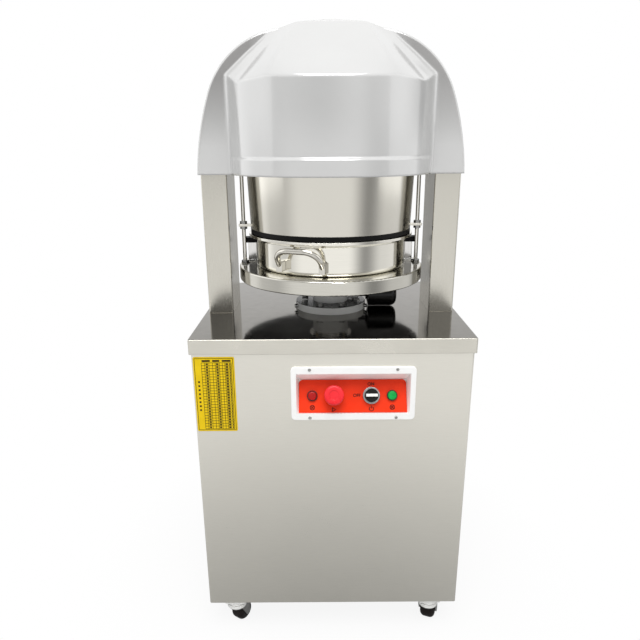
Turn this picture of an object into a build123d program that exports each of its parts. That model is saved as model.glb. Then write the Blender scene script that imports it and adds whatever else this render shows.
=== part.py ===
from build123d import *
import math
import os

# Floor-standing electric divider that presses a round pan of dough and cuts it into 36 pieces.
# Millimetres. Front faces -Y, +X is to the right of someone facing it, +Z is up. The origin is on the floor,
# under the lift column's axis, in the middle of the overall box.

# Table and cabinet
table_width = 526.0
table_depth = 455.0
table_sheet = 2.0
table_edge = 1.8
lip_height = 28.5
lip_overhang = 3.5
table_corner = 3.0
caster_height = 67.0
cabinet_height = 587.0
cabinet_sheet = 2.0
cabinet_corner = 4.0
return_flange = 26.0
cover_sheet = 1.5
cover_margin = 8.0
cover_screw_margin = 16.0
cover_screw_rows = 3
louvre_length = 90.0
louvre_height = 6.0
louvre_pitch = 18.0
louvre_rows = 7
louvre_drop = 90.0
base_plate = 6.0
upright_size = 30.0
upright_wall = 3.0
frame_fit = 0.4

# Fasteners
screw_radius = 2.0
screw_head_radius = 4.2
screw_head = 2.2
bolt_radius = 4.0
bolt_clearance = 0.25
nut_across = 13.0
nut_height = 5.5
head_height = 5.5

# Columns and head frame
column_width = 51.0
column_depth = 108.0
column_wall = 3.0
column_corner = 3.0
column_height = 300.0
column_outside = 255.0
post_width = 26.0
post_depth = 60.0
post_fit = 1.0
beam_depth = 84.0
beam_height = 20.0

# Lift
lift_travel = 80.0
cam_sweep_deg = 270.0
ram_radius = 29.0
ram_flange_radius = 46.0
ram_flange = 10.0
shaft_fit = 0.05
bush_wall = 4.0
guide_flange_radius = 75.0
guide_flange = 15.0
guide_flange_edge = 1.5
guide_neck_radius = 38.0
guide_neck = 52.0
guide_sleeve_radius = 42.0
guide_sleeve = 110.0
guide_bolt_circle = 60.0
guide_bolts = 8
flange_screw_angles_deg = (200.0, 340.0)
flange_screw_radius = 2.5
flange_screw_head_radius = 4.0
flange_screw_head = 8.0
flange_screw_seat = 1.5
flange_screw_depth = 7.0
running_gap = 0.4
beam_gap = 3.2
platform_radius = 192.0
platform_height = 27.5
platform_edge = 2.5
platform_clear = 17.5
platform_screw_circle = 36.0
platform_screws_count = 4

# Clamp knob on the guide's neck
clamp_height = 27.0
clamp_screw_radius = 6.0
clamp_boss_radius = 11.0
clamp_boss_end = 60.0
knob_start = 76.0
knob_length = 66.0
knob_radius = 26.0
knob_neck_radius = 12.0
knob_neck = 2.0
knob_shoulder = 3.0
knob_round = 13.0

# Rods, drum and seal
rod_radius = 4.0
rod_circle = 182.0
drum_radius = 165.5
drum_top_radius = 170.0
drum_wall = 3.0
drum_height = 115.0
drum_gap = 1.2
seal_height = 9.0
seal_wall = 7.0
ear_height = 5.0
ear_depth = 16.0
ear_end = 191.0

# Pan stops on the platform
stop_width = 18.0
stop_plate = 6.0
stop_height = 41.0
stop_foot = 26.0
stop_foot_height = 4.0
stop_back = 19.0
pad_height = 11.0
pad_width = 29.0
pad_depth = 22.0
pan_side_gap = 1.0

# Pan
pan_radius = 157.0
pan_wall = 2.0
pan_height = 67.0
pan_corner = 9.0
pan_rim_radius = 169.5
pan_rim = 5.0
pan_rim_round = 2.0
pan_flare = 11.0
handle_azimuth_deg = 20.5
handle_span = 86.0
handle_foot = 19.0
handle_foot_height = 20.0
handle_foot_width = 12.0
handle_foot_round = 2.0
handle_reach = 13.0
handle_rise = 44.0
handle_bend = 28.0
handle_bar_radius = 5.6
handle_tilt_deg = 38.0

# Knives and press plates
knife_thickness = 2.0
knife_height = 70.0
knife_floor_gap = 1.5
knife_hide = 1.5
inner_ring_radius = 61.0
middle_ring_radius = 106.0
outer_ring_radius = 148.0
inner_cells = 6
middle_cells = 12
outer_cells = 18
hub_radius = 3.0
press_gap = 1.0
press_height = 12.0
stud_radius = 4.0
stud_gap = 0.6
inner_stud_circle = 38.0
weld_gap = 0.2
carrier_height = 10.0
press_carrier_height = 8.0
press_carrier_gap = 0.5
hanger_radius = 25.0

# Hood
hood_wall = 3.0
hood_gap = 1.5
hood_rise = 281.0
hood_front_gap = 8.0
hood_back = 208.0
hood_side_lean = 28.0
hood_side_bow = 5.5
hood_side_rise = 148.0
hood_crown_half = 95.0
hood_crown_rise = 257.0
hood_top_rise = 268.0
bulge_radius = 200.0
skirt_radius = 204.0
skirt_height = 31.0
shoulder_rise = 162.0
crease_half_width = 113.0
plateau_rise = 260.0
plateau_front = 88.0
plateau_half_width = 62.0
oblique_half_width = 86.0
crown_front_half = 25.0
crown_side_half = 37.0
crown_drop = 2.0
hood_lap = 1.0
hood_screw_rise = 12.0
hood_screw_spread = 60.0
hood_screw_sink = 1.5

# Control panel
panel_x = 38.0
panel_drop = 107.5
panel_width = 232.0
panel_height = 107.0
panel_corner = 8.0
panel_lip = 4.0
panel_edge = 1.2
recess_width = 212.0
recess_height = 80.0
tub_wall = 2.0
tub_fit = 0.5
opening_fit = 1.5
plate_tilt_deg = 27.0
plate_inset = 3.0
plate_width = 205.0
plate_height = 63.0
plate_corner = 8.0
plate_sheet = 1.5
device_rise = 32.0
lamp_left_x = -76.5
start_x = -35.7
selector_x = 35.0
lamp_right_x = 74.3
panel_screw_spread = 162.0
panel_screw_margin = 5.0
panel_screw_radius = 1.5
panel_screw_head_radius = 3.0
panel_screw_head = 1.6
device_hole_radius = 11.0
device_fit = 0.1
device_body = 8.0
lamp_hole_radius = 8.0
lamp_body = 30.0
lamp_bezel_radius = 10.0
lamp_bezel = 4.0
lens_radius = 8.4
lens_seat = 1.5
lens_rise = 5.0
lens_round = 3.0
start_collar_radius = 14.5
start_collar = 8.0
start_stem_radius = 7.5
start_travel = 5.0
start_head_radius = 18.6
start_head = 11.0
start_head_gap = 1.0
start_head_round = 4.0
start_dish_radius = 9.0
start_dish = 0.8
selector_bezel_radius = 16.0
selector_bezel = 6.0
selector_knob_radius = 12.6
selector_knob = 8.0
selector_stem_radius = 6.0
selector_bar_length = 23.6
selector_bar_width = 6.8
selector_bar = 4.0
switch_fit = 0.35
contact_width = 30.0
contact_height = 40.0
contact_depth = 30.0

# Chart plate
chart_width = 76.0
chart_height = 150.0
chart_sheet = 0.8
chart_edge = 3.0
chart_drop = 34.0

# Drive inside the cabinet
roller_radius = 24.0
roller_width = 22.0
roller_pin_radius = 8.0
roller_drop = 256.0
cam_base_radius = 62.0
cam_thickness = 20.0
cam_points = 96
cam_gap = 0.4
cam_shaft_radius = 17.5
fork_cheek = 12.0
fork_gap = 1.0
fork_half_width = 22.0
fork_top = 36.0
fork_block = 16.0
gearbox_width = 140.0
gearbox_depth = 110.0
gearbox_height = 180.0
gearbox_front = 40.0
gearbox_edge = 8.0
worm_drop = 50.0
motor_radius = 62.0
motor_length = 170.0
motor_flange = 12.0
motor_flange_radius = 68.0
motor_fins = 16
fin_depth = 4.0
fin_width = 4.0
box_width = 84.0
box_depth = 150.0
box_height = 190.0
box_drop = 250.0
gland_x = 150.0
gland_rise = 90.0
gland_radius = 12.0
gland_spigot_radius = 8.0
gland_bore_radius = 5.0
gland_nut_across = 28.0
gland_nut = 6.0

# Casters
caster_side_inset = 53.5
caster_end_inset = 23.0
wheel_radius = 20.0
wheel_width = 31.0
wheel_edge = 10.0
wheel_side_gap = 1.0
axle_radius = 3.0
caster_trail = 13.0
fork_sheet = 3.0
fork_crown_gap = 3.0
race_radius = 21.0
race_groove = 2.0
race_groove_depth = 3.0
caster_plate = 4.0
caster_plate_size = 44.0
fork_boss_radius = 5.5
caster_headings_deg = {"front_left": 58.0, "front_right": 70.0, "rear_left": 60.0, "rear_right": 140.0}
caster_signs = {"front_left": (-1, -1), "front_right": (1, -1), "rear_left": (-1, 1), "rear_right": (1, 1)}

# Heights and places that follow from the sizes above
table_z = caster_height + cabinet_height + table_sheet
table_under = table_z - table_sheet
cabinet_half_width = table_width / 2 - lip_overhang
cabinet_half_depth = table_depth / 2 - lip_overhang
caster_x = cabinet_half_width - caster_side_inset
caster_y = cabinet_half_depth - caster_end_inset
base_top = caster_height + base_plate
frame_width = 2 * (cabinet_half_width - cabinet_sheet - frame_fit)
frame_depth = 2 * (cabinet_half_depth - cabinet_sheet - frame_fit)
neck_top = table_z + guide_neck
platform_bottom = neck_top + platform_clear
platform_top = platform_bottom + platform_height
pan_rim_top = platform_top + pan_height
seal_bottom = pan_rim_top + drum_gap
drum_bottom = seal_bottom + seal_height
drum_top = drum_bottom + drum_height
beam_bottom = drum_top + lift_travel + beam_gap
column_inside = column_outside - column_width
column_x = column_outside - column_width / 2
post_x = column_inside + column_wall + post_fit + post_width / 2
knife_edge = platform_top + pan_wall + lift_travel + knife_floor_gap
knife_top = knife_edge + knife_height
knife_carrier_top = knife_top + carrier_height
press_bottom = knife_edge + knife_hide
press_top = press_bottom + press_height
press_carrier_bottom = knife_carrier_top + press_carrier_gap
hood_z = table_z + hood_rise
hood_half_width = column_outside + hood_gap + hood_wall
hood_front = column_depth / 2 + hood_front_gap
roller_z = table_z - roller_drop
cam_z = roller_z - cam_base_radius
gearbox_y = gearbox_front + gearbox_depth / 2
gearbox_bottom = cam_z - gearbox_height / 2
worm_z = cam_z - worm_drop
panel_z = table_z - panel_drop
panel_front = cabinet_half_depth + panel_lip
cover_back = cabinet_half_depth + cover_sheet
tub_width = recess_width + 2 * tub_wall
tub_height = recess_height + 2 * tub_wall
gland_z = caster_height + gland_rise
stop_x = pan_radius + pan_side_gap + stop_width / 2
bush_radius = ram_radius + shaft_fit + bush_wall

os.makedirs("parts", exist_ok=True)


# Base frame: floor plate, four square-tube uprights that carry the table, and the gearbox stand
with BuildPart() as base_frame:
    with BuildSketch(Plane.XY.offset(caster_height)):
        RectangleRounded(frame_width, frame_depth, cabinet_corner)
    extrude(amount=base_plate)
    with BuildSketch(Plane.XY.offset(base_top)):
        with GridLocations(frame_width - upright_size, frame_depth - upright_size, 2, 2):
            RectangleRounded(upright_size, upright_size, cabinet_corner)
            Rectangle(upright_size - 2 * upright_wall, upright_size - 2 * upright_wall, mode=Mode.SUBTRACT)
    extrude(amount=table_under - base_top)
    with BuildSketch(Plane.XY.offset(base_top)):
        with Locations((0, gearbox_y)):
            Rectangle(gearbox_width, gearbox_depth)
    extrude(amount=gearbox_bottom - base_top)
base_frame.part.label = "base_frame"
export_step(base_frame.part, "parts/base_frame.step")

# Cabinet shell: front and two sides folded from one sheet, with return flanges round the back opening
with BuildPart() as cabinet_shell:
    with BuildSketch(Plane.XY.offset(caster_height)):
        RectangleRounded(2 * cabinet_half_width, 2 * cabinet_half_depth, cabinet_corner)
        RectangleRounded(
            2 * (cabinet_half_width - cabinet_sheet),
            2 * (cabinet_half_depth - cabinet_sheet),
            cabinet_corner - cabinet_sheet,
            mode=Mode.SUBTRACT,
        )
        with Locations((0, cabinet_half_depth)):
            Rectangle(2 * (cabinet_half_width - return_flange), 3 * cabinet_sheet, mode=Mode.SUBTRACT)
    extrude(amount=cabinet_height)
    with BuildSketch(Plane.XZ.offset(cabinet_half_depth)):
        with Locations((panel_x, panel_z)):
            Rectangle(tub_width + 2 * opening_fit, tub_height + 2 * opening_fit)
    extrude(amount=-2 * cabinet_sheet, mode=Mode.SUBTRACT)
cabinet_shell.part.label = "cabinet_shell"
export_step(cabinet_shell.part, "parts/cabinet_shell.step")

# Rear cover: a louvred sheet screwed to the return flanges, with the hole for the mains gland
cover_width = 2 * (cabinet_half_width - cover_margin)
cover_height = cabinet_height - lip_height - 2 * cover_margin
cover_z = caster_height + cover_margin + cover_height / 2
cover_screw_x = cabinet_half_width - (return_flange + cover_margin) / 2
cover_screw_pitch = (cover_height - 2 * cover_screw_margin) / (cover_screw_rows - 1)
with BuildPart() as rear_cover:
    with BuildSketch(Plane.XZ.offset(-cover_back)):
        with Locations((0, cover_z)):
            Rectangle(cover_width, cover_height)
        with Locations((0, cover_z + cover_height / 2 - louvre_drop)):
            with GridLocations(2 * louvre_length, louvre_pitch, 2, louvre_rows):
                SlotOverall(louvre_length, louvre_height, mode=Mode.SUBTRACT)
        with Locations((gland_x, gland_z)):
            Circle(gland_spigot_radius + shaft_fit, mode=Mode.SUBTRACT)
        with Locations((0, cover_z)):
            with GridLocations(2 * cover_screw_x, cover_screw_pitch, 2, cover_screw_rows):
                Circle(screw_radius + bolt_clearance, mode=Mode.SUBTRACT)
    extrude(amount=cover_sheet)
rear_cover.part.label = "rear_cover"
export_step(rear_cover.part, "parts/rear_cover.step")

with BuildPart() as rear_screws:
    with BuildSketch(Plane.XZ.offset(-cover_back)):
        with Locations((0, cover_z)):
            with GridLocations(2 * cover_screw_x, cover_screw_pitch, 2, cover_screw_rows):
                Circle(screw_head_radius)
    extrude(amount=-screw_head)
    with BuildSketch(Plane.XZ.offset(-cover_back)):
        with Locations((0, cover_z)):
            with GridLocations(2 * cover_screw_x, cover_screw_pitch, 2, cover_screw_rows):
                Circle(screw_radius)
    extrude(amount=cover_sheet)
rear_screws.part.label = "rear_screws"
export_step(rear_screws.part, "parts/rear_screws.step")

# Table top: a polished tray turned over, its lip folded down round the cabinet
with BuildPart() as table_top:
    with BuildSketch(Plane.XY.offset(table_z - lip_height)):
        RectangleRounded(table_width, table_depth, table_corner)
    extrude(amount=lip_height)
    fillet(table_top.faces().sort_by(Axis.Z)[-1].edges(), table_edge)
    with BuildSketch(Plane.XY.offset(table_z - lip_height)):
        RectangleRounded(
            table_width - 2 * table_sheet,
            table_depth - 2 * table_sheet,
            table_corner - table_sheet,
        )
    extrude(amount=lip_height - table_sheet, mode=Mode.SUBTRACT)
    with BuildSketch(Plane.XY.offset(table_under)):
        Circle(guide_sleeve_radius + running_gap)
        with PolarLocations(guide_bolt_circle, guide_bolts, start_angle=180 / guide_bolts):
            Circle(bolt_radius + bolt_clearance)
    extrude(amount=table_sheet, mode=Mode.SUBTRACT)
table_top.part.label = "table_top"
export_step(table_top.part, "parts/table_top.step")

# Columns: stainless box sections that stand on the table and hide the posts
for side, name in ((-1, "column_left"), (1, "column_right")):
    with BuildPart() as column:
        with BuildSketch(Plane.XY.offset(table_z)):
            with Locations((side * column_x, 0)):
                RectangleRounded(column_width, column_depth, column_corner)
                Rectangle(column_width - 2 * column_wall, column_depth - 2 * column_wall, mode=Mode.SUBTRACT)
        extrude(amount=column_height)
        with BuildSketch(Plane.YZ.offset(side * (column_outside - column_wall))):
            with Locations((0, hood_z + hood_screw_rise)):
                with GridLocations(hood_screw_spread, 1, 2, 1):
                    Circle(screw_radius + bolt_clearance)
        extrude(amount=side * column_wall, mode=Mode.SUBTRACT)
    column.part.label = name
    export_step(column.part, f"parts/{name}.step")

# Head frame: two posts inside the columns and the beam that holds the knives
with BuildPart() as head_frame:
    with BuildSketch(Plane.XY.offset(table_z)):
        with GridLocations(2 * post_x, 1, 2, 1):
            Rectangle(post_width, post_depth)
    extrude(amount=beam_bottom - table_z)
    with BuildSketch(Plane.XY.offset(beam_bottom)):
        Rectangle(2 * post_x + post_width, beam_depth)
    extrude(amount=beam_height)
head_frame.part.label = "head_frame"
export_step(head_frame.part, "parts/head_frame.step")


def ring_lines(thickness):
    """Draw the three round knives, each this thick, in the sketch being built."""
    for radius in (outer_ring_radius, middle_ring_radius, inner_ring_radius):
        Circle(radius + thickness / 2)
        Circle(radius - thickness / 2, mode=Mode.SUBTRACT)


def blade_lines(thickness):
    """Draw the radial knives between the rings, each this thick, in the sketch being built."""
    rows = (
        (inner_cells, 0.0, inner_ring_radius),
        (middle_cells, inner_ring_radius, middle_ring_radius),
        (outer_cells, middle_ring_radius, outer_ring_radius),
    )
    for count, start, end in rows:
        with PolarLocations((start + end) / 2, count):
            Rectangle(end - start, thickness)


def stud_circles(radius, mode=Mode.ADD):
    """Draw a circle in the middle of each of the 36 cells in the sketch being built."""
    rows = (
        (inner_cells, inner_stud_circle),
        (middle_cells, (inner_ring_radius + middle_ring_radius) / 2),
        (outer_cells, (middle_ring_radius + outer_ring_radius) / 2),
    )
    for count, circle in rows:
        with PolarLocations(circle, count, start_angle=180 / count):
            Circle(radius, mode=mode)


# Knife rings: round blades, edges down, rolled in arcs and welded under the carrier
arc_rows = (
    (inner_ring_radius, middle_cells),
    (middle_ring_radius, outer_cells),
    (outer_ring_radius, outer_cells),
)
with BuildPart() as knife_rings:
    with BuildSketch(Plane.XY.offset(knife_edge)):
        ring_lines(knife_thickness)
        for radius, count in arc_rows:
            with PolarLocations(radius, count):
                Rectangle(2 * knife_thickness, weld_gap, mode=Mode.SUBTRACT)
    extrude(amount=knife_height)
knife_rings.part.label = "knife_rings"
export_step(knife_rings.part, "parts/knife_rings.step")

# Knife blades: 6, 12 and 18 straight blades between the rings
with BuildSketch() as ring_room:
    ring_lines(knife_thickness + 2 * weld_gap)
    Circle(hub_radius)
with BuildPart() as knife_blades:
    with BuildSketch(Plane.XY.offset(knife_edge)):
        blade_lines(knife_thickness)
        add(ring_room.sketch, mode=Mode.SUBTRACT)
    extrude(amount=knife_height)
knife_blades.part.label = "knife_blades"
export_step(knife_blades.part, "parts/knife_blades.step")

# Knife carrier: the disc that the knives are welded under, hung from the beam by a bar
with BuildPart() as knife_carrier:
    with BuildSketch(Plane.XY.offset(knife_top)):
        Circle(outer_ring_radius + knife_thickness)
        stud_circles(stud_radius + stud_gap, mode=Mode.SUBTRACT)
    extrude(amount=carrier_height)
    with BuildSketch(Plane.XY.offset(knife_carrier_top)):
        Circle(hanger_radius)
    extrude(amount=beam_bottom - knife_carrier_top)
knife_carrier.part.label = "knife_carrier"
export_step(knife_carrier.part, "parts/knife_carrier.step")

# Press plates: one for each cell, flush with the knives' edges at rest
with BuildSketch() as knife_slots:
    ring_lines(knife_thickness + 2 * press_gap)
    blade_lines(knife_thickness + 2 * press_gap)
with BuildPart() as press_segments:
    with BuildSketch(Plane.XY.offset(press_bottom)):
        Circle(outer_ring_radius - knife_thickness / 2 - press_gap)
        add(knife_slots.sketch, mode=Mode.SUBTRACT)
    extrude(amount=press_height)
press_segments.part.label = "press_segments"
export_step(press_segments.part, "parts/press_segments.step")

# Press studs: one on each plate, up through the knife carrier
with BuildPart() as press_studs:
    with BuildSketch(Plane.XY.offset(press_top)):
        stud_circles(stud_radius)
    extrude(amount=press_carrier_bottom - press_top)
press_studs.part.label = "press_studs"
export_step(press_studs.part, "parts/press_studs.step")

# Press carrier: the disc above, which the 36 studs are fixed to
with BuildPart() as press_carrier:
    with BuildSketch(Plane.XY.offset(press_carrier_bottom)):
        Circle(outer_ring_radius)
        Circle(hanger_radius + stud_gap, mode=Mode.SUBTRACT)
    extrude(amount=press_carrier_height)
press_carrier.part.label = "press_carrier"
export_step(press_carrier.part, "parts/press_carrier.step")


def hood_arch(inset, front, back, base_z):
    """The arched body of the hood, drawn this far inside its outline and running from front to back."""
    shoulder = (hood_half_width - hood_side_lean, hood_z + hood_side_rise)
    bow = (hood_half_width - hood_side_lean / 2 + hood_side_bow, hood_z + hood_side_rise / 2)
    crown_end = (hood_crown_half, hood_z + hood_crown_rise)
    with BuildPart() as arch:
        with BuildSketch(Plane.XZ.offset(-back)):
            with BuildLine():
                Line((0, hood_z), (hood_half_width, hood_z))
                side = ThreePointArc((hood_half_width, hood_z), bow, shoulder)
                TangentArc(shoulder, crown_end, tangent=side % 1)
                ThreePointArc(crown_end, (0, hood_z + hood_top_rise), (-crown_end[0], crown_end[1]))
                mirror_side = ThreePointArc(
                    (-hood_half_width, hood_z), (-bow[0], bow[1]), (-shoulder[0], shoulder[1])
                )
                TangentArc(
                    (-shoulder[0], shoulder[1]), (-crown_end[0], crown_end[1]), tangent=mirror_side % 1
                )
                Line((0, hood_z), (-hood_half_width, hood_z))
            make_face()
            if inset:
                offset(amount=-inset, mode=Mode.REPLACE)
                with Locations((0, (hood_z + inset + base_z) / 2)):
                    Rectangle(2 * (hood_half_width - inset), hood_z + inset - base_z)
        extrude(amount=front + back)
    return arch.part


def hood_bulge(inset, base_z):
    """The round front of the hood with its skirt, up to the shoulder."""
    with BuildPart() as bulge:
        with BuildSketch(Plane.XY.offset(base_z)):
            Circle(bulge_radius - inset)
        extrude(amount=hood_z + shoulder_rise - base_z)
        with BuildSketch(Plane.XY.offset(base_z)):
            Circle(skirt_radius - inset)
        extrude(amount=hood_z + skirt_height - inset - base_z)
    return bulge.part


def facet_section(height, front_half, front_y, side_half, side_y, radius=None):
    """Outline of the hood's top at one height: a front edge, two oblique edges and a straight back."""
    front_left = (-front_half, front_y)
    front_right = (front_half, front_y)
    side_left = (-side_half, side_y)
    side_right = (side_half, side_y)
    back_right = (side_half, side_y + hood_lap)
    back_left = (-side_half, side_y + hood_lap)
    with BuildSketch(Plane.XY.offset(height)) as section:
        with BuildLine():
            if radius:
                oblique = (math.asin(front_half / radius) + math.acos(-side_y / radius)) / 2
                ThreePointArc(front_left, (0, -radius), front_right)
                middle = (radius * math.sin(oblique), -radius * math.cos(oblique))
                ThreePointArc(front_right, middle, side_right)
                ThreePointArc(side_left, (-middle[0], middle[1]), front_left)
            else:
                Line(front_left, front_right)
                Line(front_right, side_right)
                Line(side_left, front_left)
            Line(side_right, back_right)
            Line(back_right, back_left)
            Line(back_left, side_left)
        make_face()
    return section.sketch


def hood_facets(inset):
    """The sloping top in front of the arch: one front facet and an oblique one at each side."""
    radius = bulge_radius - inset
    side_y = -(hood_front - inset)
    crease = math.asin(crease_half_width / bulge_radius)
    plateau_z = hood_z + plateau_rise - inset
    shoulder = facet_section(
        hood_z + shoulder_rise,
        radius * math.sin(crease),
        -radius * math.cos(crease),
        math.sqrt(radius**2 - side_y**2),
        side_y,
        radius,
    )
    plateau = facet_section(
        plateau_z, plateau_half_width, -plateau_front + inset, oblique_half_width - inset, side_y
    )
    crown = facet_section(
        hood_z + hood_top_rise - inset - crown_drop,
        crown_front_half,
        side_y - crown_drop,
        crown_side_half,
        side_y,
    )
    with BuildPart() as top:
        loft(sections=[shoulder, plateau], ruled=True)
        loft(sections=[plateau, crown], ruled=True)
    return top.part


# Hood: one moulded shell over the head, open underneath
hood_open_z = hood_z - hood_wall
hood_screw_seat = hood_half_width - hood_screw_sink
hood_solids = (
    hood_arch(0.0, hood_front, hood_back, hood_z),
    hood_bulge(0.0, hood_z),
    hood_facets(0.0),
)
hood_rooms = (
    hood_arch(hood_wall, hood_front - hood_wall, hood_back - hood_wall, hood_open_z),
    hood_bulge(hood_wall, hood_open_z),
    hood_facets(hood_wall),
)
with BuildPart() as hood:
    for solid in hood_solids:
        add(solid)
    for room in hood_rooms:
        add(room, mode=Mode.SUBTRACT)
    for side in (-1, 1):
        with BuildSketch(Plane.YZ.offset(side * hood_screw_seat)):
            with Locations((0, hood_z + hood_screw_rise)):
                with GridLocations(hood_screw_spread, 1, 2, 1):
                    Circle(screw_radius + bolt_clearance)
        extrude(amount=-side * 2 * hood_wall, mode=Mode.SUBTRACT)
        with BuildSketch(Plane.YZ.offset(side * hood_screw_seat)):
            with Locations((0, hood_z + hood_screw_rise)):
                with GridLocations(hood_screw_spread, 1, 2, 1):
                    Circle(screw_head_radius + bolt_clearance)
        extrude(amount=side * 2 * hood_screw_sink, mode=Mode.SUBTRACT)
hood.part.label = "hood"
export_step(hood.part, "parts/hood.step")

# Hood screws: two in each side, through the shell into the column
with BuildPart() as hood_screws:
    for side in (-1, 1):
        with BuildSketch(Plane.YZ.offset(side * hood_screw_seat)):
            with Locations((0, hood_z + hood_screw_rise)):
                with GridLocations(hood_screw_spread, 1, 2, 1):
                    Circle(screw_head_radius)
        extrude(amount=side * screw_head)
        with BuildSketch(Plane.YZ.offset(side * hood_screw_seat)):
            with Locations((0, hood_z + hood_screw_rise)):
                with GridLocations(hood_screw_spread, 1, 2, 1):
                    Circle(screw_radius)
        extrude(amount=-side * (hood_screw_seat - column_outside + column_wall))
hood_screws.part.label = "hood_screws"
export_step(hood_screws.part, "parts/hood_screws.step")

def flange_screw_plane(angle_deg):
    """The seat of one side screw in the guide's flange, facing outwards at this angle."""
    angle = math.radians(angle_deg)
    out = Vector(math.cos(angle), math.sin(angle), 0)
    seat = out * (guide_flange_radius - flange_screw_seat) + Vector(0, 0, table_z + guide_flange / 2)
    return Plane(origin=seat, z_dir=out)


# Lift guide: the flange bolted on the table, its neck, and the sleeve below the table
with BuildPart() as lift_guide:
    with BuildSketch(Plane.XY.offset(table_z)):
        Circle(guide_flange_radius)
    extrude(amount=guide_flange)
    fillet(lift_guide.edges().group_by(Axis.Z)[-1], guide_flange_edge)
    with BuildSketch(Plane.XY.offset(table_z)):
        Circle(guide_neck_radius)
    extrude(amount=guide_neck)
    with BuildSketch(Plane.XY.offset(table_z)):
        Circle(guide_sleeve_radius)
    extrude(amount=-guide_sleeve)
    with BuildSketch(Plane.YZ.offset(guide_neck_radius / 2)):
        with Locations((0, table_z + clamp_height)):
            Circle(clamp_boss_radius)
    extrude(amount=clamp_boss_end - guide_neck_radius / 2)
    with BuildSketch(Plane.XY.offset(table_z - guide_sleeve)):
        Circle(bush_radius)
    extrude(amount=guide_sleeve + guide_neck, mode=Mode.SUBTRACT)
    with BuildSketch(Plane.YZ):
        with Locations((0, table_z + clamp_height)):
            Circle(clamp_screw_radius + shaft_fit)
    extrude(amount=clamp_boss_end, mode=Mode.SUBTRACT)
    with BuildSketch(Plane.XY.offset(table_z)):
        with PolarLocations(guide_bolt_circle, guide_bolts, start_angle=180 / guide_bolts):
            Circle(bolt_radius + bolt_clearance)
    extrude(amount=guide_flange, mode=Mode.SUBTRACT)
    for angle_deg in flange_screw_angles_deg:
        with BuildSketch(flange_screw_plane(angle_deg)):
            Circle(flange_screw_head_radius + bolt_clearance)
        extrude(amount=2 * flange_screw_seat, mode=Mode.SUBTRACT)
        with BuildSketch(flange_screw_plane(angle_deg)):
            Circle(flange_screw_radius + shaft_fit)
        extrude(amount=-flange_screw_depth, mode=Mode.SUBTRACT)
lift_guide.part.label = "lift_guide"
export_step(lift_guide.part, "parts/lift_guide.step")

# Guide bush: bronze liner pressed in the guide, with a hole for the clamp screw
with BuildPart() as guide_bush:
    with BuildSketch(Plane.XY.offset(table_z - guide_sleeve)):
        Circle(bush_radius)
        Circle(ram_radius + shaft_fit, mode=Mode.SUBTRACT)
    extrude(amount=guide_sleeve + guide_neck)
    with BuildSketch(Plane.YZ):
        with Locations((0, table_z + clamp_height)):
            Circle(clamp_screw_radius + 2 * shaft_fit)
    extrude(amount=bush_radius, mode=Mode.SUBTRACT)
guide_bush.part.label = "guide_bush"
export_step(guide_bush.part, "parts/guide_bush.step")

with BuildPart() as guide_bolts_node:
    with BuildSketch(Plane.XY.offset(table_z + guide_flange)):
        with PolarLocations(guide_bolt_circle, guide_bolts, start_angle=180 / guide_bolts):
            RegularPolygon(nut_across / 2, 6, major_radius=False)
    extrude(amount=head_height)
    with BuildSketch(Plane.XY.offset(table_z + guide_flange)):
        with PolarLocations(guide_bolt_circle, guide_bolts, start_angle=180 / guide_bolts):
            Circle(bolt_radius)
    extrude(amount=-(guide_flange + table_sheet))
guide_bolts_node.part.label = "guide_bolts"
export_step(guide_bolts_node.part, "parts/guide_bolts.step")

# Flange screws: two set screws in the flange's rim
with BuildPart() as flange_screws:
    for angle_deg in flange_screw_angles_deg:
        with BuildSketch(flange_screw_plane(angle_deg)):
            Circle(flange_screw_head_radius)
        extrude(amount=flange_screw_head)
        with BuildSketch(flange_screw_plane(angle_deg)):
            Circle(flange_screw_radius)
        extrude(amount=-flange_screw_depth)
flange_screws.part.label = "flange_screws"
export_step(flange_screws.part, "parts/flange_screws.step")

# Clamp knob: a black hand knob with the screw that locks the ram for transport
with BuildPart() as clamp_knob:
    with BuildSketch(Plane.XZ):
        with BuildLine():
            Polyline(
                (knob_start, table_z + clamp_height),
                (knob_start, table_z + clamp_height + knob_neck_radius),
                (knob_start + knob_neck, table_z + clamp_height + knob_neck_radius),
                (knob_start + knob_neck + knob_shoulder, table_z + clamp_height + knob_radius),
                (knob_start + knob_length, table_z + clamp_height + knob_radius),
                (knob_start + knob_length, table_z + clamp_height),
                close=True,
            )
        make_face()
    revolve(axis=Axis((0, 0, table_z + clamp_height), (1, 0, 0)))
    fillet(clamp_knob.edges().filter_by(GeomType.CIRCLE).group_by(Axis.X)[-1], knob_round)
    with BuildSketch(Plane.YZ.offset(knob_start)):
        with Locations((0, table_z + clamp_height)):
            Circle(clamp_screw_radius)
    extrude(amount=-(knob_start - ram_radius - running_gap))
clamp_knob.part.label = "clamp_knob"
export_step(clamp_knob.part, "parts/clamp_knob.step")

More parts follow.
